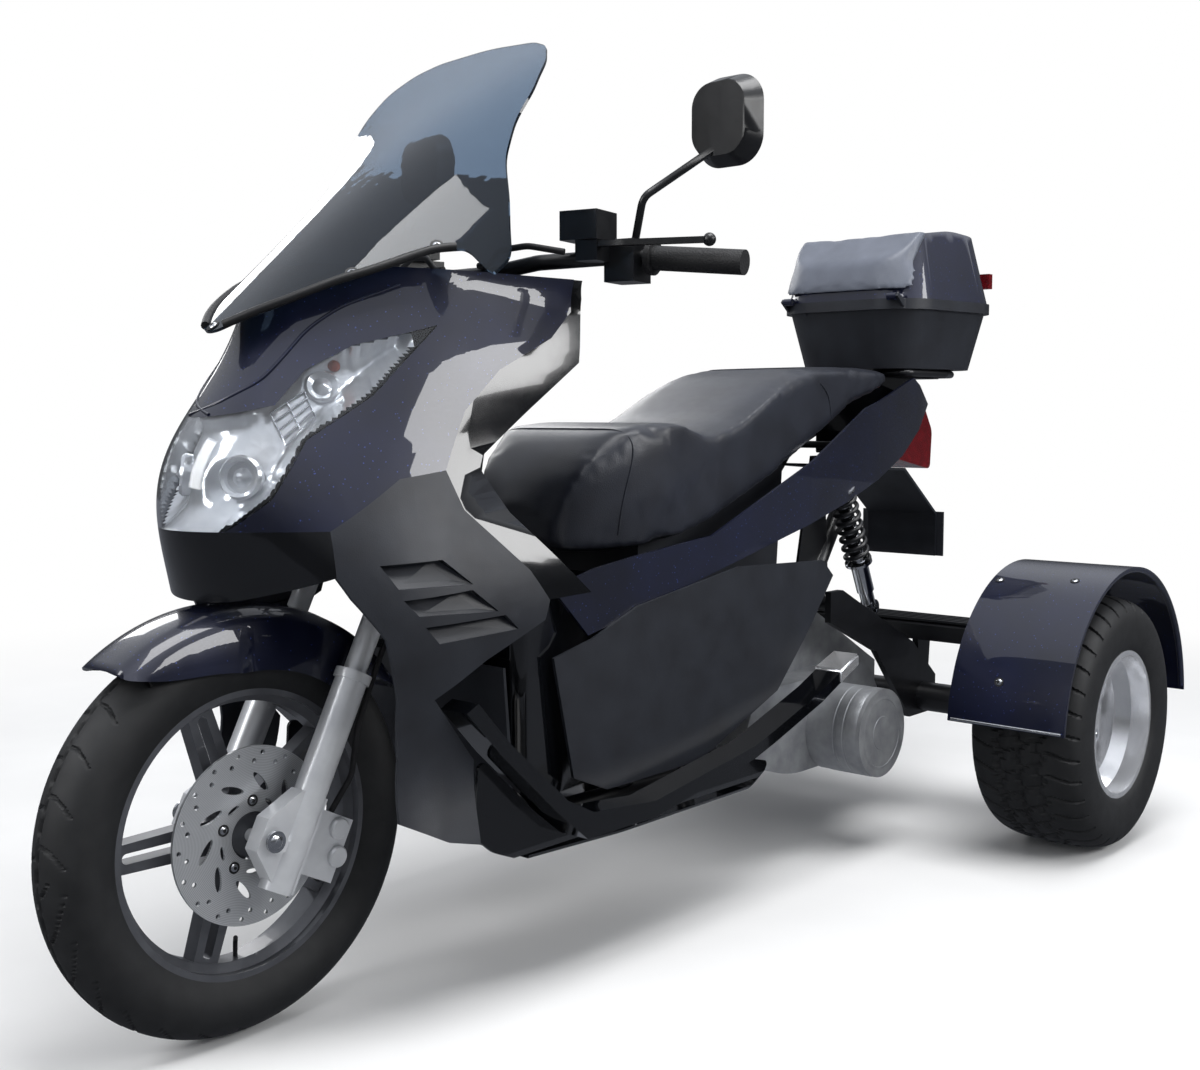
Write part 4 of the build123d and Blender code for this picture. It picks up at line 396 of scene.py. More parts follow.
# Rear tread: wavy grooves round the crown and both shoulders, with leaning sipes between them.
REAR_SECTION = (
    (129, -91), (140, -97.5), (158, -101.5), (178, -102.3), (196, -100),
    (210, -93), (219, -80), (224.5, -60), (227.5, -32), (228.8, 0),
)
REAR_TREAD_R, REAR_ROUND, REAR_ACROSS, REAR_DEEP = 205, 760, 40, 4.5
REAR_WAVE, REAR_WAVES, SIDE_GROOVE_Y, SIDE_GROOVE_WIDE = 6.0, 34, 34, 9.0
CROWN_WAVE_SHARE, CROWN_GROOVE_WIDE = 0.6, 7.0
SIPE_R, SIPE_PITCH, SHOULDER_Y, SHOULDER_LEAN, SHOULDER_SIPE = 228, 42.1, 44, 0.35, 5.0
INNER_Y, INNER_LEAN, INNER_SHIFT, INNER_SIPE = 9, 0.5, 12, 3.0


def front_cut(angle, y, radius):
    """How deep the front tread is cut at a point of the section."""
    if radius < FRONT_TREAD_R:
        return 0.0
    side = 1 if y > 0 else -1
    sweep = angle * radius + side * SWEPT_STAGGER + SWEPT_BEND * (abs(y) - SWEPT_BEND_FROM) ** 2
    sipe = near(sweep, SWEPT_PITCH, SWEPT_WIDE - SWEPT_TAPER * abs(y))
    reach = 1.0 if SWEPT_SPAN[0] < abs(y) < SWEPT_SPAN[1] else 0.0
    pair = near(abs(y) - PAIR_Y - PAIR_WAVE * math.sin(angle * PAIR_WAVES), ONCE, PAIR_WIDE)
    return SWEPT_DEEP * reach * sipe + PAIR_DEEP * pair


def rear_cut(angle, y, radius):
    """How deep a rear tread is cut at a point of the section."""
    if radius < REAR_TREAD_R:
        return 0.0
    wave = REAR_WAVE * math.sin(angle * REAR_WAVES)
    grooves = near(abs(y) - SIDE_GROOVE_Y - wave * (1 if y > 0 else -1), ONCE, SIDE_GROOVE_WIDE)
    grooves += near(y + wave * CROWN_WAVE_SHARE, ONCE, CROWN_GROOVE_WIDE)
    if abs(y) > SHOULDER_Y:
        sipes = near(angle * SIPE_R + y * SHOULDER_LEAN, SIPE_PITCH, SHOULDER_SIPE)
    else:
        sipes = near(angle * SIPE_R - y * INNER_LEAN + INNER_SHIFT, SIPE_PITCH, INNER_SIPE) * (abs(y) > INNER_Y)
    return REAR_DEEP * min(1.0, grooves + sipes)


def tyre_piece(name, section, centre, round_steps, across_steps, cut, body):
    """A tyre with its tread, from half of its section."""
    half = along(section, across_steps)
    profile = [(p.x, p.y) for p in half] + [(p.x, -p.y) for p in reversed(half[:-1])]
    return link_piece(name, lathe(profile, centre, round_steps, cut), tyre_rubber, body)


front_tyre = tyre_piece(
    "front_tyre_tread", FRONT_SECTION, FRONT_AXLE, FRONT_ROUND, FRONT_ACROSS, front_cut, "front_wheel_body"
)
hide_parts("front_tyre")
for side, y in (("left", REAR_TRACK_HALF), ("right", -REAR_TRACK_HALF)):
    centre = (REAR_AXLE[0], y, REAR_AXLE[2])
    tread = tyre_piece(
        "rear_tyre_tread_" + side, REAR_SECTION, centre, REAR_ROUND, REAR_ACROSS, rear_cut, f"rear_wheel_{side}_body"
    )
    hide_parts("rear_tyre_" + side)

# The drum on the gear case is turned: two grooves round it, a bevelled edge and a sunk ring in its end.
DRUM_CENTRE, DRUM_STEPS = (-417, 0, 220), 64
DRUM_SECTION = (
    (78.4, 165), (78.4, 196), (76.6, 198), (76.6, 200), (78.4, 202), (78.4, 215), (76.6, 217), (76.6, 219),
    (78.4, 221), (78.4, 240), (74, 249), (60, 250.6), (57, 247), (32, 247), (29, 250.6), (0.2, 250.6),
)
drum_mesh = lathe(DRUM_SECTION, DRUM_CENTRE, DRUM_STEPS, closed=False)
link_piece("gear_drum_shell", drum_mesh, cast_aluminium, "chassis")

# --- Fork, caliper, mudguard and hoses ---
# Die-cast sliders and caliper in silver lacquer, a painted mudguard, and rubber hoses and cables.
silver_lacquer = finish(
    "silver_lacquered_casting", "#b9bbbf", "#c9cbce", rough=(0.26, 0.38), patch_mm=40.0,
    grain=(0.9, 0.00005), Metallic=0.35, Coat_Weight=0.4,
)
hose_rubber = finish(
    "braided_hose_rubber", "#121214", "#1c1c1f", rough=(0.5, 0.65), patch_mm=20.0, grain=(1.0, 0.0001)
)
dress(silver_lacquer, "fork", "front_caliper")
dress(hose_rubber, "hoses_and_cables")

# --- Painted body ---
# ABS panels in dark navy metallic under clear lacquer: a deep gloss with a fine blue sparkle.
FLAKE_MM, TONE_MM, GLINT_SHARE = 1.4, 120.0, 0.93
FLAKE_SPAN, FLAKE_ROUGH = 0.9, (0.55, 0.3)
lacquered = {"Metallic": 0.2, "Specular IOR Level": 0.3, "Coat Weight": 1.0, "Coat Roughness": 0.02}
navy_metallic, tree, shader, place = new_finish("navy_metallic_lacquered_abs", lacquered)
flakes = speckle(tree, place, FLAKE_MM, kind=CELLS)
sparkle_range = {0: flakes.outputs["Distance"], 1: 0.0, 2: FLAKE_SPAN, 3: FLAKE_ROUGH[0], 4: FLAKE_ROUGH[1]}
sparkle = add(tree, "MapRange", sparkle_range)
deep = blend_colours(tree, speckle(tree, place, TONE_MM), "#070b1e", "#0c122d")
# Flake cells above the glint share take a brighter blue base colour. These are real flakes, but their brightness is
# painted glint, there whatever the light.
flake_and_painted_glint = {0: flakes.outputs["Color"], 1: GLINT_SHARE}
picked = add(tree, "Math", flake_and_painted_glint, operation="GREATER_THAN")
glint = add(tree, "Mix", {0: picked, 6: deep, 7: linear("#2c3c78")}, data_type="RGBA")
feed(tree, shader, {"Base Color": glint.outputs[2], "Roughness": sparkle})

WELD_GAP, FLAT_DEGREES, FACE_WEIGHT = 0.00002, 1.0, 80


def panel(name, node, material, body, degrees=42, fused=True):
    """A moulded panel: its CAD node's mesh, welded and shaded as one skin with real edges."""
    form = bmesh.new()
    form.from_mesh(frame["nodes"][node].data)
    bmesh.ops.remove_doubles(form, verts=form.verts, dist=WELD_GAP)
    if fused:
        flat = math.radians(FLAT_DEGREES)
        bmesh.ops.dissolve_limit(form, angle_limit=flat, verts=form.verts, edges=form.edges)
    mesh = finished(form, name)
    smooth(mesh, degrees)
    piece = link_piece(name, mesh, material, body)
    if fused:
        weighted = piece.modifiers.new("even_shading", "WEIGHTED_NORMAL")
        weighted.keep_sharp = True
        weighted.weight = FACE_WEIGHT
    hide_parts(node)


for node in ("upper_cowl", "side_cowls", "rear_fenders", "side_covers"):
    panel(node + "_skin", node, navy_metallic, "chassis")
panel("front_mudguard_skin", "front_fender", navy_metallic, "steering", fused=False)
panel("top_box_lid_skin", "top_box_lid", navy_metallic, "lid_body", fused=False)

# Gloss black ABS: piano-black mouldings round the legs, tunnel, chin, floor, belly and tail.
piano_black = finish(
    "gloss_black_abs", "#050608", "#090a0d", rough=(0.06, 0.12), patch_mm=150.0, Coat_Weight=0.5, Coat_Roughness=0.02
)
for node in ("leg_shield", "chin_cowl", "centre_tunnel", "floorboards", "belly_pan", "tail_cover"):
    panel(node + "_skin", node, piano_black, "chassis")
dress(piano_black, "fuel_door")

# Textured ABS: the spark-eroded grain of lower covers, mudguards, top box base and luggage tub.
grained_abs = finish("spark_textured_abs", "#191b21", "#21242b", rough=(0.4, 0.5), patch_mm=60.0, grain=(1.6, 0.0002))
for node in ("lower_cowls", "lower_side_covers", "rear_mudguard", "top_box_base"):
    panel(node + "_skin", node, grained_abs, "chassis")
dress(grained_abs, "splash_guard", "luggage_bucket")

# Satin nylon for the switch housings and mirror backs, and cross-cut rubber on the grips.
MIRROR_DEGREES = 50
satin_nylon = finish(
    "satin_moulded_nylon", "#0b0c0e", "#121316", rough=(0.26, 0.38), patch_mm=50.0, grain=(1.0, 0.00006)
)
dress(satin_nylon, "hand_controls")
panel("mirror_pair", "mirrors", satin_nylon, "steering", MIRROR_DEGREES)
grip_rubber = finish(
    "patterned_grip_rubber", "#0c0c0e", "#131316", rough=(0.55, 0.7), patch_mm=20.0, grain=(2.6, 0.0006), kind=CELLS
)
dress(grip_rubber, "grips")

# --- Glass and lamps ---
# Polycarbonate: water-clear on the headlamp, smoked blue-grey on the screen, red on the rear lamps.
clear_lens = finish(
    "clear_polycarbonate", "#f2f5f8", "#fafbfc", rough=(0.0, 0.03), patch_mm=80.0, Transmission_Weight=1.0, IOR=1.5
)
smoked_screen = finish(
    "smoked_polycarbonate", "#303c4a", "#384553", rough=(0.0, 0.03), patch_mm=300.0, Transmission_Weight=0.86, IOR=1.45
)
lamp_mirror = finish(
    "vapour_chromed_reflector", "#e9ebee", "#f6f7f9", rough=(0.12, 0.22), patch_mm=30.0,
    grain=(14.0, 0.0009), kind=CELLS, Metallic=0.55,
)
red_lens = finish(
    "red_prismatic_lens", "#5e0a10", "#7a1018", rough=(0.05, 0.15), patch_mm=20.0,
    grain=(3.0, 0.0004), kind=CELLS, Transmission_Weight=0.35, IOR=1.5,
)
dress(clear_lens, "headlamp_lens")
dress(smoked_screen, "windscreen")
dress(lamp_mirror, "headlamp_reflector")
dress(red_lens, "tail_lamp", "reflectors")

# --- Small fasteners and beads that lie on the finished body ---
# Stainless socket screws on black washers, and beads or welts that follow a panel's skin. Their
# places are pixels of the photograph, traced through the camera on to the surfaces.
stainless = finish("stainless_steel", "#b9bbbf", "#cfd1d4", rough=(0.16, 0.26), patch_mm=12.0, Metallic=1.0)
black_rubber = finish(
    "black_moulded_rubber", "#0b0b0d", "#121214", rough=(0.45, 0.6), patch_mm=12.0, grain=(1.2, 0.00008)
)


def skin_of(name):
    """A piece's surface, to set details on."""
    holder = bpy.data.objects.get(name) or frame["nodes"][name]
    evaluated = holder.evaluated_get(bpy.context.evaluated_depsgraph_get())
    mesh = evaluated.to_mesh()
    corners, faces = [v.co.copy() for v in mesh.vertices], [tuple(p.vertices) for p in mesh.polygons]
    evaluated.to_mesh_clear()
    return BVHTree.FromPolygons(corners, faces)


right_of_view = looking.cross(UP).normalized()
top_of_view = right_of_view.cross(looking)
PHOTO_WIDE, PHOTO_HIGH = 1200, 1070
FOCAL_PIXELS = camera.data.lens / camera.data.sensor_width * PHOTO_WIDE


def seen_on(skin, pixels):
    """The points and outward directions where pixels of the photograph fall on a surface."""
    found = []
    for x, y in pixels:
        ray = looking * FOCAL_PIXELS + right_of_view * (x - PHOTO_WIDE / 2) - top_of_view * (y - PHOTO_HIGH / 2)
        spot, normal = skin.ray_cast(camera.location, ray.normalized())[:2]
        if spot is not None:
            found.append((spot, normal if normal.dot(ray) < 0 else -normal))
    return found


def traced(skin, pixels, proud):
    """A line of pixels laid on a surface, standing proud of it by so much."""
    return [spot + normal * proud for spot, normal in seen_on(skin, pixels)]


def flipped(vector):
    """The same place or direction on the vehicle's other side."""
    return Vector((vector.x, -vector.y, vector.z))


def mirrored(points):
    """The same line of points on the vehicle's other side."""
    return [flipped(point) for point in points]


def both_sides(spots):
    """Points and directions with their mirror images."""
    return spots + [(flipped(spot), flipped(way)) for spot, way in spots]


CURVE_STEPS, ROD_DEGREES = 8, 50


def rod(name, runs, radius, material, body, sides=4):
    """Round bar, bead or welt along smooth runs of points."""
    curve = bpy.data.curves.new(name, "CURVE")
    curve.dimensions = "3D"
    curve.bevel_depth = radius
    curve.bevel_resolution = sides
    curve.use_fill_caps = True
    curve.resolution_u = CURVE_STEPS
    for run in runs:
        spline = curve.splines.new("NURBS")
        spline.points.add(len(run) - 1)
        for point, place in zip(spline.points, run):
            point.co = (*place, 1.0)
        spline.order_u = 3
        spline.use_endpoint_u = True
    drawn = in_scene(name + "_line", curve)
    mesh = baked(drawn)
    bpy.data.objects.remove(drawn)
    smooth(mesh, ROD_DEGREES)
    return link_piece(name, mesh, material, body)


def start_tree(name, inputs):
    """A geometry tree with named inputs, its input sockets and its output node."""
    tree = bpy.data.node_groups.new(name, "GeometryNodeTree")
    tree.interface.new_socket("Geometry", in_out="INPUT", socket_type="NodeSocketGeometry")
    tree.interface.new_socket("Geometry", in_out="OUTPUT", socket_type="NodeSocketGeometry")
    for label, kind in inputs.items():
        tree.interface.new_socket(label, in_out="INPUT", socket_type="NodeSocket" + kind)
    return tree, tree.nodes.new("NodeGroupInput").outputs, tree.nodes.new("NodeGroupOutput")


def joined(tree, *nodes):
    """Several nodes' geometry as one."""
    whole = tree.nodes.new("GeometryNodeJoinGeometry")
    for node in nodes:
        feed(tree, whole, {0: node})
    return whole


GROWN_DEGREES = 40


def grown(name, base_mesh, tree, values, body):
    """A plain piece that a geometry tree makes from a base mesh."""
    holder = in_scene(name, base_mesh)
    modifier = holder.modifiers.new("repeat", "NODES")
    modifier.node_group = tree
    for item in tree.interface.items_tree:
        if item.in_out == "INPUT" and item.name in values:
            modifier[item.identifier] = values[item.name]
    mesh = baked(holder)
    holder.modifiers.remove(modifier)
    holder.data = mesh
    smooth(mesh, GROWN_DEGREES)
    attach(holder, body)
    return holder


# A screw, as shares of its head's radius: a flattened dome on a washer, with a hexagon socket.
HEAD_FLAT, WASHER_SHARE, WASHER_THICK, SOCKET_SHARE, SOCKET_HIGH = 0.5, 1.35, 0.35, 0.42, 1.06
screw, given, result = start_tree("screws_on_a_surface", {
    "Head Radius": "Float", "Head Height": "Float", "Head Finish": "Material", "Washer And Socket Finish": "Material",
})


def share_of_head(share):
    """A length that is a share of the head's radius."""
    return add(screw, "ShaderNodeMath", {0: given["Head Radius"], 1: share}, operation="MULTIPLY")


def in_finish(tree, geometry, material):
    """Geometry with a material from the tree's inputs."""
    return add(tree, "SetMaterial", {"Geometry": geometry, "Material": material})


facing = add(screw, "InputNamedAttribute", {"Name": "facing"}, data_type="FLOAT_VECTOR")
turned = add(screw, "FunctionNodeAlignRotationToVector", {"Vector": facing}, axis="Z")
ball = {"Segments": 18, "Rings": 10, "Radius": given["Head Radius"]}
dome = add(screw, "MeshUVSphere", ball)
flat = add(screw, "Transform", {"Geometry": dome, "Scale": (1.0, 1.0, HEAD_FLAT)})
ring = {"Vertices": 24, "Radius": share_of_head(WASHER_SHARE), "Depth": given["Head Height"]}
washer = add(screw, "MeshCylinder", ring)
# The hexagon socket is a solid prism in the washer's finish, standing just proud of the dome. Where that finish is
# black rubber, the black hexagon is painted shade for the socket's recess.
socket_shade_prism = {"Vertices": 6, "Radius": share_of_head(SOCKET_SHARE), "Depth": share_of_head(SOCKET_HIGH)}
socket = add(screw, "MeshCylinder", socket_shade_prism)
whole_screw = joined(
    screw,
    in_finish(screw, flat, given["Head Finish"]),
    in_finish(screw, washer, given["Washer And Socket Finish"]),
    in_finish(screw, socket, given["Washer And Socket Finish"]),
)
instances = {"Points": given["Geometry"], "Instance": whole_screw, "Rotation": turned}
placed = add(screw, "InstanceOnPoints", instances)
real = add(screw, "RealizeInstances", {0: placed})
feed(screw, result, {0: real})


def screws(name, spots, radius, body, washer=None):
    """Socket-headed screws at (point, direction) spots."""
    mesh = bpy.data.meshes.new(name)
    mesh.from_pydata([spot for spot, way in spots], [], [])
    attribute = mesh.attributes.new("facing", "FLOAT_VECTOR", "POINT")
    for item, (spot, way) in zip(attribute.data, spots):
        item.vector = way
    values = {
        "Head Radius": radius, "Head Height": radius * WASHER_THICK,
        "Head Finish": stainless, "Washer And Socket Finish": washer or black_rubber,
    }
    return grown(name, mesh, screw, values, body)


SCREEN_SCREWS, SCREEN_MIDDLE_SCREW, SCREEN_SCREW_R = ((352, 273), (437, 246)), ((213, 326),), 0.0065
SCREEN_BAND = (
    (224, 325), (240, 318), (262, 309), (287, 300), (312, 290), (341, 279),
    (352, 276), (375, 269), (398, 261), (412, 256), (437, 248), (456, 247),
)
BAND_PROUD, BAND_R = 0.001, 0.0055
screen_skin = skin_of("windscreen")
screen_spots = both_sides(seen_on(screen_skin, SCREEN_SCREWS)) + seen_on(screen_skin, SCREEN_MIDDLE_SCREW)
screws("windscreen_screws", screen_spots, SCREEN_SCREW_R, "chassis")
band = traced(screen_skin, SCREEN_BAND, BAND_PROUD)
rod("windscreen_band", [band, mirrored(band)], BAND_R, black_rubber, "chassis")

FENDER_SCREWS, FENDER_SCREW_R = ((1000, 580), (999, 682), (1075, 581)), 0.006
fender_spots = both_sides(seen_on(skin_of("rear_fenders"), FENDER_SCREWS))
screws("rear_fender_screws", fender_spots, FENDER_SCREW_R, "chassis")
LIP_ARC, LIP_STEPS, LIP_RADIUS, LIP_INSET, LIP_R = (math.radians(6), math.radians(174)), 24, 0.2743, 0.005, 0.0045
LIP_CENTRE = Vector((-0.741, 0.0, 0.229))
lip_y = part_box("rear_fenders")[1].y - LIP_INSET
lip = []
for i in range(LIP_STEPS + 1):
    angle = LIP_ARC[0] + (LIP_ARC[1] - LIP_ARC[0]) * i / LIP_STEPS
    lip.append(LIP_CENTRE + Vector((LIP_RADIUS * math.cos(angle), lip_y, LIP_RADIUS * math.sin(angle))))
rod("rear_fender_lips", [lip, mirrored(lip)], LIP_R, navy_metallic, "chassis")

# --- Upper cowl bead ---
# The nose panel has a raised moulded border that sweeps up from the headlamp's tip to the screen.
COWL_BEAD = (
    (190, 415), (209, 408), (232, 396), (259, 382), (275, 366), (289, 350),
    (305, 331), (324, 317), (342, 306), (370, 296), (400, 285),
)
BEAD_PROUD, BEAD_R = 0.0003, 0.0022
bead = traced(skin_of("upper_cowl"), COWL_BEAD, BEAD_PROUD)
rod("upper_cowl_bead", [bead, mirrored(bead)], BEAD_R, navy_metallic, "chassis")

# --- Headlamp interior ---
# Behind the lens lies a vapour-chromed bowl with a projector and an indicator. The bowl is the CAD
# reflector's front, scanned round an upright axis and sunk in its middle.
BOWL_TURNS, BOWL_ROWS, BOWL_SWEEP, BOWL_AXIS_X, SCAN_FROM, SCAN_FACING = 150, 60, 176, 0.56, 0.6, 0.15
BOWL_DEPTH, BOWL_RIM_STEPS, BOWL_SMOOTHINGS, BOWL_SMOOTHING, BOWL_DEGREES = 0.03, 8, 4, 0.5, 60
lamp_skin = skin_of("headlamp_reflector")
lens_low, lens_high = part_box("headlamp_lens")
grid = {}
for j in range(BOWL_ROWS + 1):
    z = lens_low.z + (lens_high.z - lens_low.z) * j / BOWL_ROWS
    for i in range(BOWL_TURNS + 1):
        turn = math.radians(-BOWL_SWEEP / 2 + BOWL_SWEEP * i / BOWL_TURNS)
        way = Vector((math.cos(turn), math.sin(turn), 0))
        far = Vector((BOWL_AXIS_X, 0.0, z)) + way * SCAN_FROM
        spot, normal = lamp_skin.ray_cast(far, -way)[:2]
        if spot is not None and normal.dot(way) > SCAN_FACING:
            grid[i, j] = (spot, way)


def edge_steps(i, j):
    """How many grid steps a bowl point lies inside the bowl's edge."""
    for step in range(1, BOWL_RIM_STEPS + 1):
        if any((i + a * step, j + b * step) not in grid for a, b in ((1, 0), (-1, 0), (0, 1), (0, -1))):
            return step - 1
    return BOWL_RIM_STEPS


form = bmesh.new()
corners = {}
for (i, j), (spot, way) in grid.items():
    sink = BOWL_DEPTH * math.sin(edge_steps(i, j) / BOWL_RIM_STEPS * math.pi / 2)
    corners[i, j] = form.verts.new(spot - way * sink)
for i, j in grid:
    square = [(i, j), (i + 1, j), (i + 1, j + 1), (i, j + 1)]
    if all(c in corners for c in square):
        form.faces.new([corners[c] for c in square])
for vertex in [v for v in form.verts if not v.link_faces]:
    form.verts.remove(vertex)
for smoothing in range(BOWL_SMOOTHINGS):
    inside = [v for v in form.verts if not v.is_boundary]
    bmesh.ops.smooth_vert(
        form, verts=inside, factor=BOWL_SMOOTHING, use_axis_x=True, use_axis_y=True, use_axis_z=True
    )
bowl_mesh = finished(form, "headlamp_bowl")
smooth(bowl_mesh, BOWL_DEGREES)
bowl = link_piece("headlamp_bowl", bowl_mesh, lamp_mirror, "chassis")
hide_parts("headlamp_reflector")
bpy.context.view_layer.update()
bowl_skin = skin_of("headlamp_bowl")

# The projector looks ahead; the indicator's dome and bulb face out of the bowl.
amber_lens = finish(
    "amber_bulb", "#a33a16", "#b8481c", rough=(0.1, 0.2), patch_mm=20.0, Transmission_Weight=0.3, IOR=1.5
)
PROJECTOR_AHEAD, PROJECTOR_RISE = 0.8, 0.1
PROJECTOR_SECTION = ((26, -4), (27, 8), (24, 12), (20, 10), (19, 2), (12, 1), (7, 6), (5, 14), (0.2, 17))
DOME_SECTION = ((21, -6), (22, 4), (19, 6), (12, 3), (7, 8), (0.2, 11))
BULB_SECTION = ((7, -4), (7, 6), (5, 9), (0.2, 11))
LAMP_PARTS = (
    ("projector_ring", (243, 478), PROJECTOR_SECTION, lamp_mirror, "lamp_chrome"),
    ("indicator_dome", (322, 388), DOME_SECTION, lamp_mirror, "lamp_chrome"),
    ("indicator_bulb", (333, 366), BULB_SECTION, amber_lens, "red_lens"),
)
for name, pixel, section, material, slot in LAMP_PARTS:
    for number, (spot, way) in enumerate(both_sides(seen_on(bowl_skin, [pixel]))):
        if section is PROJECTOR_SECTION:
            way = Vector((PROJECTOR_AHEAD, way.y, PROJECTOR_RISE)).normalized()
        link_piece(f"{name}_{number}", turned_at(section, spot, way), material, "chassis")

# --- Louvre blades ---
# Each opening of the lower cowl is closed by a sloping blade, deep at its upper edge and flush at
# its lower one. Corners run along the upper edge and back along the lower.
LOUVRES = (
    ((0.669, 0.1905, 0.598), (0.589, 0.2141, 0.601), (0.548, 0.2248, 0.568), (0.651, 0.2046, 0.569)),
    ((0.646, 0.2082, 0.555), (0.549, 0.2259, 0.561), (0.510, 0.2320, 0.531), (0.628, 0.2163, 0.535)),
    ((0.621, 0.2188, 0.521), (0.498, 0.2330, 0.525), (0.476, 0.2346, 0.505), (0.602, 0.2227, 0.499)),
)
UPPER_CORNERS, BLADE_DEEP, BLADE_FLUSH, BLADE_THICK, BLADE_LAP = 2, 0.014, 0.0012, 0.002, 0.0015


def walls(form, low, high):
    """The faces that join two loops with as many corners."""
    count = len(low)
    for k in range(count):
        form.faces.new((low[k], high[k], high[(k + 1) % count], low[(k + 1) % count]))


def slab(form, low, high):
    """A closed slab between two loops with as many corners."""
    form.faces.new(low)
    form.faces.new(list(reversed(high)))
    walls(form, low, high)


form = bmesh.new()
for corners_of in LOUVRES:
    for side in (1, -1):
        loops = []
        for inward in (0.0, BLADE_THICK):
            loop = []
            for number, (x, y, z) in enumerate(corners_of):
                sunk, lap = (BLADE_DEEP, BLADE_LAP) if number < UPPER_CORNERS else (BLADE_FLUSH, 0.0)
                loop.append(form.verts.new((x, side * (y - (sunk + inward)), z + lap)))
            loops.append(loop)
        slab(form, *loops)
link_piece("louvre_blades", finished(form, "louvre_blades", True), grained_abs, "chassis")

# --- Rear shocks ---
# Chromed dampers inside black coil springs, held between a spring cup at each end.
chrome = finish("hard_chrome", "#cfd1d5", "#e2e3e6", rough=(0.05, 0.12), patch_mm=20.0, Metallic=1.0)
SHOCK_LOW, SHOCK_HIGH = Vector((-0.543, 0.147, 0.422)), Vector((-0.415, 0.147, 0.690))
COIL_TURNS, COIL_RADIUS, COIL_WIRE, COIL_STEPS, COIL_SIDES = 8, 0.0215, 0.0042, 16, 3
COIL_FROM, COIL_SPAN, DAMPER_STEPS, EYE_STEPS = 0.34, 0.48, 32, 28
DAMPER_SECTION = (
    (0.2, 0), (11, 0), (13, 6), (13, 34), (16, 36), (16, 92), (25, 94), (25, 99), (13, 101),
    (13, 240), (25, 242), (25, 247), (15, 250), (14, 272), (12, 288), (12, 297), (0.2, 297),
)
EYE_SECTION = ((9, -12), (15, -12), (15, 12), (9, 12))
shock_way = (SHOCK_HIGH - SHOCK_LOW).normalized()
shock_length = (SHOCK_HIGH - SHOCK_LOW).length
over = shock_way.cross(LEFT).normalized()
coils = []
damper_form = bmesh.new()
for low in (SHOCK_LOW, flipped(SHOCK_LOW)):
    run = []
    for i in range(COIL_TURNS * COIL_STEPS + 1):
        t = i / (COIL_TURNS * COIL_STEPS)
        angle = 2 * math.pi * COIL_TURNS * t
        middle = low + shock_way * shock_length * (COIL_FROM + COIL_SPAN * t)
        run.append(middle + (LEFT * math.cos(angle) + over * math.sin(angle)) * COIL_RADIUS)
    coils.append(run)
    damper_form.from_mesh(turned_at(DAMPER_SECTION, low, shock_way, DAMPER_STEPS))
    for end in (low, low + shock_way * shock_length):
        eye = lathe(EYE_SECTION, (0, 0, 0), EYE_STEPS)
        eye.transform(Matrix.Translation(end))
        damper_form.from_mesh(eye)
rod("rear_shock_springs", coils, COIL_WIRE, black_powder_coat, "chassis", sides=COIL_SIDES)
damper_mesh = finished(damper_form, "rear_dampers")
smooth(damper_mesh, TURNED_DEGREES)
rear_dampers = link_piece("rear_dampers", damper_mesh, chrome, "chassis")
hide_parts("shocks")

# --- Brake disc ---
# Stamped stainless plate with drilled holes and curved vents, screwed to the hub. Each row of cuts:
# their radius and corners, narrowing, number, ring radius, first angle and lean.
DISC_RADIUS, BORE_RADIUS, DISC_THICK, DISC_CORNERS, BORE_CORNERS = 0.112, 0.03, 0.004, 96, 48
DISC_ROWS = (
    (0.0032, 12, 1.0, 18, 0.1035, 0.0, 0.0), (0.0032, 12, 1.0, 18, 0.0935, 0.12, 0.0),
    (0.0165, 20, 0.3, 10, 0.067, 0.1, -0.7), (0.009, 16, 0.35, 5, 0.045, 0.3, -0.15),
)
disc, given, result = start_tree(
    "drilled_brake_disc", {"Disc Radius": "Float", "Bore Radius": "Float", "Thickness": "Float", "Steel": "Material"}
)


def circle(radius, corners):
    """A flat round curve."""
    return add(disc, "CurvePrimitiveCircle", {"Resolution": corners, "Radius": radius})


plate_edges = joined(disc, circle(given["Disc Radius"], DISC_CORNERS), circle(given["Bore Radius"], BORE_CORNERS))
for cut_radius, cut_corners, narrowing, count, ring_radius, first, lean in DISC_ROWS:
    spots = add(disc, "MeshLine", {"Count": count, "Offset": (0, 0, 0)})
    step = {0: add(disc, "InputIndex", {}), 1: 2 * math.pi / count, 2: first}
    turn = add(disc, "ShaderNodeMath", step, operation="MULTIPLY_ADD")
    spin = add(disc, "ShaderNodeCombineXYZ", {"Z": turn})
    spun = add(disc, "FunctionNodeEulerToRotation", {0: spin})
    narrow = {"Geometry": circle(cut_radius, cut_corners), "Scale": (narrowing, 1.0, 1.0)}
    cut = add(disc, "Transform", narrow)
    outward = {"Geometry": cut, "Translation": (ring_radius, 0, 0), "Rotation": (0, 0, lean)}
    moved = add(disc, "Transform", outward)
    copies = {"Points": spots, "Instance": moved, "Rotation": spun}
    row = add(disc, "InstanceOnPoints", copies)
    real = add(disc, "RealizeInstances", {0: row})
    feed(disc, plate_edges, {0: real})
filled = add(disc, "FillCurve", {0: plate_edges})
raised = {"Mesh": filled, "Offset Scale": given["Thickness"], "Individual": False}
thick = add(disc, "ExtrudeMesh", raised)
backed = joined(disc, add(disc, "FlipFaces", {0: filled}), thick)
welded = add(disc, "MergeByDistance", {0: backed})
feed(disc, result, {0: in_finish(disc, welded, given["Steel"])})
disc_values = {"Disc Radius": DISC_RADIUS, "Bore Radius": BORE_RADIUS, "Thickness": DISC_THICK, "Steel": disc_steel}
blank = bpy.data.meshes.new("brake_disc_blank")
brake_disc = grown("drilled_brake_disc", blank, disc, disc_values, "front_wheel_body")
disc_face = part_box("front_brake_disc")[1].y
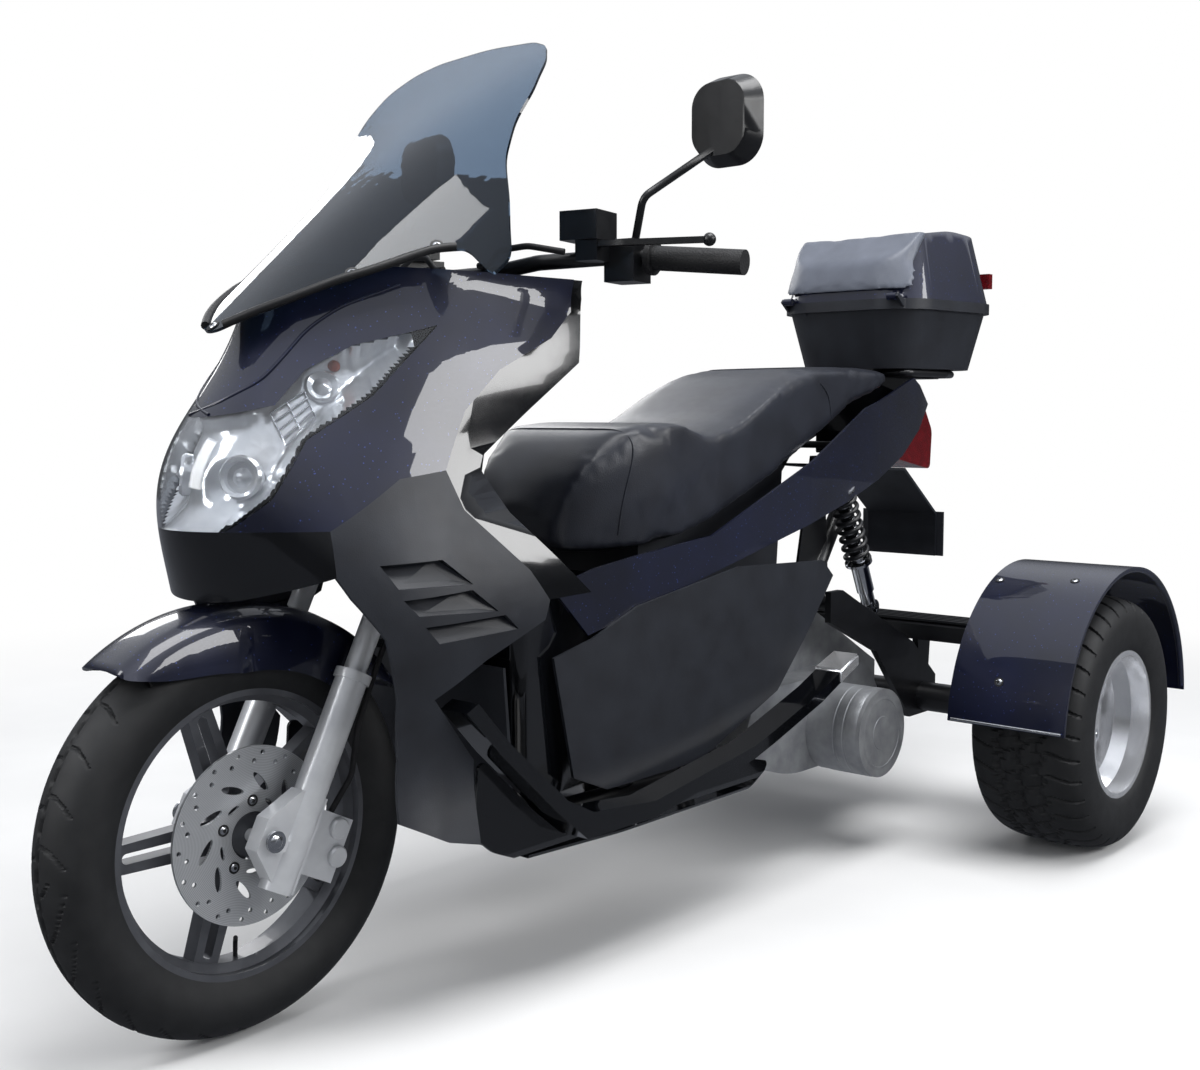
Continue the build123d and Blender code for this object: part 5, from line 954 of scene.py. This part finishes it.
stood = Matrix.Rotation(math.radians(-90), 4, "X")
brake_disc.data.transform(Matrix.Translation((FRONT_X, disc_face - DISC_THICK, FRONT_Z)) @ stood)
brake_disc.data.update()
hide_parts("front_brake_disc")
DISC_SCREWS, DISC_SCREW_RING, DISC_SCREW_FIRST, DISC_SCREW_R = 5, 0.044, 20, 0.0055


def ringed(count, ring, first):
    """Places forward and up from an axle, spread round a ring from a first angle."""
    angles = [math.radians(first + 360 / count * k) for k in range(count)]
    return [(ring * math.cos(angle), ring * math.sin(angle)) for angle in angles]


disc_ring = ringed(DISC_SCREWS, DISC_SCREW_RING, DISC_SCREW_FIRST)
disc_spots = [(Vector((FRONT_X + out, disc_face, FRONT_Z + rise)), LEFT) for out, rise in disc_ring]
screws("brake_disc_screws", disc_spots, DISC_SCREW_R, "front_wheel_body")

# --- Lamp lattice, caliper, wheel fittings and mirrors ---
# Small parts fitted last: lattice of the side lamp, piston caps, nuts, a bent valve and mirror glass.
LATTICE = ((270, 415), (304, 393), (316, 419), (287, 448))
LATTICE_ACROSS, LATTICE_ALONG, LATTICE_PROUD, LATTICE_WIRE, WIRE_SIDES = 2, 4, 0.003, 0.0011, 2


def lattice_bars(starts, ends, count, pixels):
    """Bars laid in the bowl between two lines of pixels."""
    bars = []
    for k in range(count + 1):
        first, last = starts[0].lerp(starts[1], k / count), ends[0].lerp(ends[1], k / count)
        line = [first.lerp(last, u / (pixels - 1)) for u in range(pixels)]
        bars.append(traced(bowl_skin, line, LATTICE_PROUD))
    return bars


a, b, c, d = (Vector(corner) for corner in LATTICE)
bars = lattice_bars((a, b), (d, c), LATTICE_ACROSS, 6) + lattice_bars((a, d), (b, c), LATTICE_ALONG, 5)
bars = [bar for bar in bars if len(bar) > 2]
bars += [mirrored(bar) for bar in bars]
rod("side_lamp_lattice", bars, LATTICE_WIRE, stainless, "chassis", sides=WIRE_SIDES)

CALIPER_CAPS, CAP_SECTION = ((338, 828), (336, 856)), ((14, -2), (14, 5), (12, 7), (0.2, 7))
for number, (spot, way) in enumerate(seen_on(skin_of("front_caliper"), CALIPER_CAPS)):
    cap = turned_at(CAP_SECTION, spot, LEFT)
    link_piece(f"caliper_cap_{number}", cap, silver_lacquer, "steering")
AXLE_NUT, AXLE_NUT_R = ((276, 842),), 0.010
nut_spots = both_sides([(spot, LEFT) for spot, way in seen_on(skin_of("fork"), AXLE_NUT)])
screws("front_axle_nut", nut_spots, AXLE_NUT_R, "steering", washer=stainless)
VALVE_LINE, VALVE_R = ((0.753, 0.0, 0.092), (0.753, 0.0005, 0.110), (0.754, 0.003, 0.119), (0.758, 0.009, 0.122)), 0.003
rod("valve_stem", [VALVE_LINE], VALVE_R, black_rubber, "front_wheel_body")

NUTS, NUT_RING, NUT_FIRST, NUT_RADIUS, BESIDE_WHEEL = 4, 0.05, 45, 0.008, 0.8
for side, y in (("left", 1), ("right", -1)):
    rim_skin = skin_of("rear_wheel_" + side)
    nuts = []
    for out, rise in ringed(NUTS, NUT_RING, NUT_FIRST):
        start = Vector((REAR_X + out, y * BESIDE_WHEEL, REAR_Z + rise))
        spot = rim_skin.ray_cast(start, Vector((0, -y, 0)))[0]
        if spot is not None:
            nuts.append((spot, Vector((0, y, 0))))
    screws("wheel_nuts_" + side, nuts, NUT_RADIUS, f"rear_wheel_{side}_body", washer=stainless)

# Each glass is a rounded square in two layers: how far off the mirror's face, and how large.
GLASS_HALF_WIDE, GLASS_HALF_TALL, GLASS_POWER, GLASS_STEPS = 0.045, 0.05, 3.2, 48
GLASS_BELOW_TOP, GLASS_SIDE, GLASS_LAYERS = 0.062, 0.310, ((0.0012, 1.0), (0.0003, 0.98))
mirror_low, mirror_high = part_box("mirrors")


def rounded(wave, half):
    """A coordinate on a rounded square, from a cosine or sine."""
    return math.copysign(abs(wave) ** (2 / GLASS_POWER), wave) * half


form = bmesh.new()
for side in (1, -1):
    rows = []
    for off, size in GLASS_LAYERS:
        row = []
        for k in range(GLASS_STEPS):
            a = 2 * math.pi * k / GLASS_STEPS
            wide, tall = rounded(math.cos(a), GLASS_HALF_WIDE) * size, rounded(math.sin(a), GLASS_HALF_TALL) * size
            place = (mirror_low.x + off, side * GLASS_SIDE + wide, mirror_high.z - GLASS_BELOW_TOP + tall)
            row.append(form.verts.new(place))
        rows.append(row)
    slab(form, *rows)
link_piece("mirror_glass", finished(form, "mirror_glass", True), chrome, "steering")

# --- Slatted tray between the rear wheels ---
# Pressed steel slats welded on the cross tray, and a bright edging on the front of each rear mudguard.
slat, given, result = start_tree("row_of_slats", {"Count": "Int", "Pitch": "Float", "Slat Finish": "Material"})
pitch = add(slat, "ShaderNodeCombineXYZ", {"X": given["Pitch"]})
row = add(slat, "MeshLine", {"Count": given["Count"], "Offset": pitch})
slats = add(slat, "InstanceOnPoints", {"Points": row, "Instance": given["Geometry"]})
real = add(slat, "RealizeInstances", {0: slats})
feed(slat, result, {0: in_finish(slat, real, given["Slat Finish"])})
SLAT_FIRST, SLAT_SIZE, SLAT_EDGE, SLATS, SLAT_PITCH = (-0.760, 0.0, 0.3845), (0.009, 0.66, 0.005), 0.0012, 5, 0.0175
form = bmesh.new()
slat_place = Matrix.Translation(SLAT_FIRST) @ Matrix.Diagonal((*SLAT_SIZE, 1.0))
bmesh.ops.create_cube(form, size=1.0, matrix=slat_place)
bmesh.ops.bevel(form, geom=form.edges[:], offset=SLAT_EDGE, segments=2, affect="EDGES")
slat_values = {"Count": SLATS, "Pitch": SLAT_PITCH, "Slat Finish": black_powder_coat}
grown("rear_tray_slats", finished(form, "slat"), slat, slat_values, "chassis")
EDGING_X, EDGING_Y, EDGING_Z, EDGING_R = -0.463, (0.358, 0.46, 0.556), 0.2535, 0.0028
edging = [Vector((EDGING_X, y, EDGING_Z)) for y in EDGING_Y]
rod("rear_mudguard_edging", [edging, mirrored(edging)], EDGING_R, stainless, "chassis")

# Bright caps on the rear ends of the footboards, from their side outline in (x, z).
CAP_OUTLINE = ((-0.3500, 0.3485), (-0.3500, 0.3698), (-0.2870, 0.3485), (-0.2870, 0.3245))
CAP_INNER, CAP_OUTER, CAP_EDGE, CAP_EDGE_STEPS, CAP_DEGREES = 0.1905, {-0.3500: 0.2425, -0.2870: 0.2455}, 0.003, 3, 60
form = bmesh.new()
for side in (1, -1):
    inner = [form.verts.new((x, side * CAP_INNER, z)) for x, z in CAP_OUTLINE]
    outer = [form.verts.new((x, side * CAP_OUTER[x], z)) for x, z in CAP_OUTLINE]
    slab(form, inner, outer)
bmesh.ops.recalc_face_normals(form, faces=form.faces)
bmesh.ops.bevel(form, geom=form.edges[:], offset=CAP_EDGE, segments=CAP_EDGE_STEPS, affect="EDGES")
trim_mesh = finished(form, "footboard_caps")
smooth(trim_mesh, CAP_DEGREES)
link_piece("footboard_caps", trim_mesh, polished_alloy, "chassis")

# --- Seat and backrest ---
# Foam under leather-grained vinyl, with raised seams where its panels meet.
seat_vinyl = finish(
    "black_leather_grained_vinyl", "#1c1e25", "#262932", rough=(0.3, 0.4), patch_mm=70.0,
    grain=(1.5, 0.00025), kind=CELLS,
)
pad_vinyl = finish(
    "grey_leather_grained_vinyl", "#565b66", "#656a76", rough=(0.36, 0.46), patch_mm=60.0,
    grain=(1.5, 0.0003), kind=CELLS,
)
SOFTENING, SOFTENINGS, CUSHION_PRESSURE, CLOTH_FRAMES, CUSHION_DEGREES = 0.5, 6, 4.0, 20, 80


def upholster(name, node, material, body, inset, swell, voxel):
    """A cushion swollen by cloth simulation from a shrunk copy of its CAD solid."""
    form = bmesh.new()
    form.from_mesh(frame["nodes"][node].data)
    bmesh.ops.remove_doubles(form, verts=form.verts, dist=WELD_GAP)
    cushion = in_scene(name, finished(form, name, True))
    bpy.context.view_layer.objects.active = cushion
    remesh = cushion.modifiers.new("voxels", "REMESH")
    remesh.mode = "VOXEL"
    remesh.voxel_size = voxel
    smoother = cushion.modifiers.new("soften", "SMOOTH")
    smoother.factor = SOFTENING
    smoother.iterations = SOFTENINGS
    shrunk = baked(cushion)
    cushion.modifiers.clear()
    for vertex in shrunk.vertices:
        vertex.co = vertex.co - vertex.normal * inset
    start = [v.co.copy() for v in shrunk.vertices]
    cushion.data = shrunk
    cloth = cushion.modifiers.new("cloth", "CLOTH")
    cloth.settings.use_pressure = True
    cloth.settings.uniform_pressure_force = CUSHION_PRESSURE
    cloth.settings.effector_weights.gravity = 0.0
    cloth.point_cache.frame_start, cloth.point_cache.frame_end = 1, CLOTH_FRAMES
    for step in range(1, CLOTH_FRAMES + 1):
        scene.frame_set(step)
    puffed = baked(cushion)
    cushion.modifiers.clear()
    for vertex, origin in zip(puffed.vertices, start):
        moved = vertex.co - origin
        if moved.length > swell:
            vertex.co = origin + moved.normalized() * swell
    cushion.data = puffed
    scene.frame_set(1)
    finer = cushion.modifiers.new("finer", "SUBSURF")
    finer.levels = finer.render_levels = 1
    rounded_off = baked(cushion)
    cushion.modifiers.clear()
    cushion.data = rounded_off
    low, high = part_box(node)
    for vertex in cushion.data.vertices:
        vertex.co = Vector(max(low[k], min(high[k], vertex.co[k])) for k in range(3))
    smooth(cushion.data, CUSHION_DEGREES)
    cushion.data.materials.clear()
    cushion.data.materials.append(material)
    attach(cushion, body)
    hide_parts(node)


upholster(
    "stepped_seat", "seat", seat_vinyl, "seat_body", inset=0.003, swell=0.006, voxel=0.0095
)
upholster(
    "backrest_cushion", "backrest_pad", pad_vinyl, "lid_body",
    inset=0.001, swell=0.004, voxel=0.006,
)

# Raised seams: one borders the nose panel, one crosses behind the passenger. Each is traced up the
# near side, carried over the top and mirrored down the far side.
SEAMS = {
    "nose_seam_welt": (
        (617, 549), (618, 535), (620, 518), (624, 496), (630, 472), (633, 456), (633, 444), (627, 434), (615, 430),
    ),
    "rear_seam_welt": ((831, 418), (830, 402), (826, 390), (817, 380)),
}
SEAM_PROUD, SEAM_R, SEAM_STEPS, ABOVE_SEAT = 0.0004, 0.0014, 8, 1.3
seat_skin = skin_of("stepped_seat")
for name, pixels in SEAMS.items():
    near_side = traced(seat_skin, pixels, SEAM_PROUD)
    top = near_side[-1]
    crossing = []
    for k in range(1, SEAM_STEPS):
        above = Vector((top.x, top.y * (1 - 2 * k / SEAM_STEPS), ABOVE_SEAT))
        spot = seat_skin.ray_cast(above, -UP)[0]
        if spot is not None:
            crossing.append(spot + UP * SEAM_PROUD)
    seam = near_side + crossing + list(reversed(mirrored(near_side)))
    rod(name, [seam], SEAM_R, seat_vinyl, "seat_body")
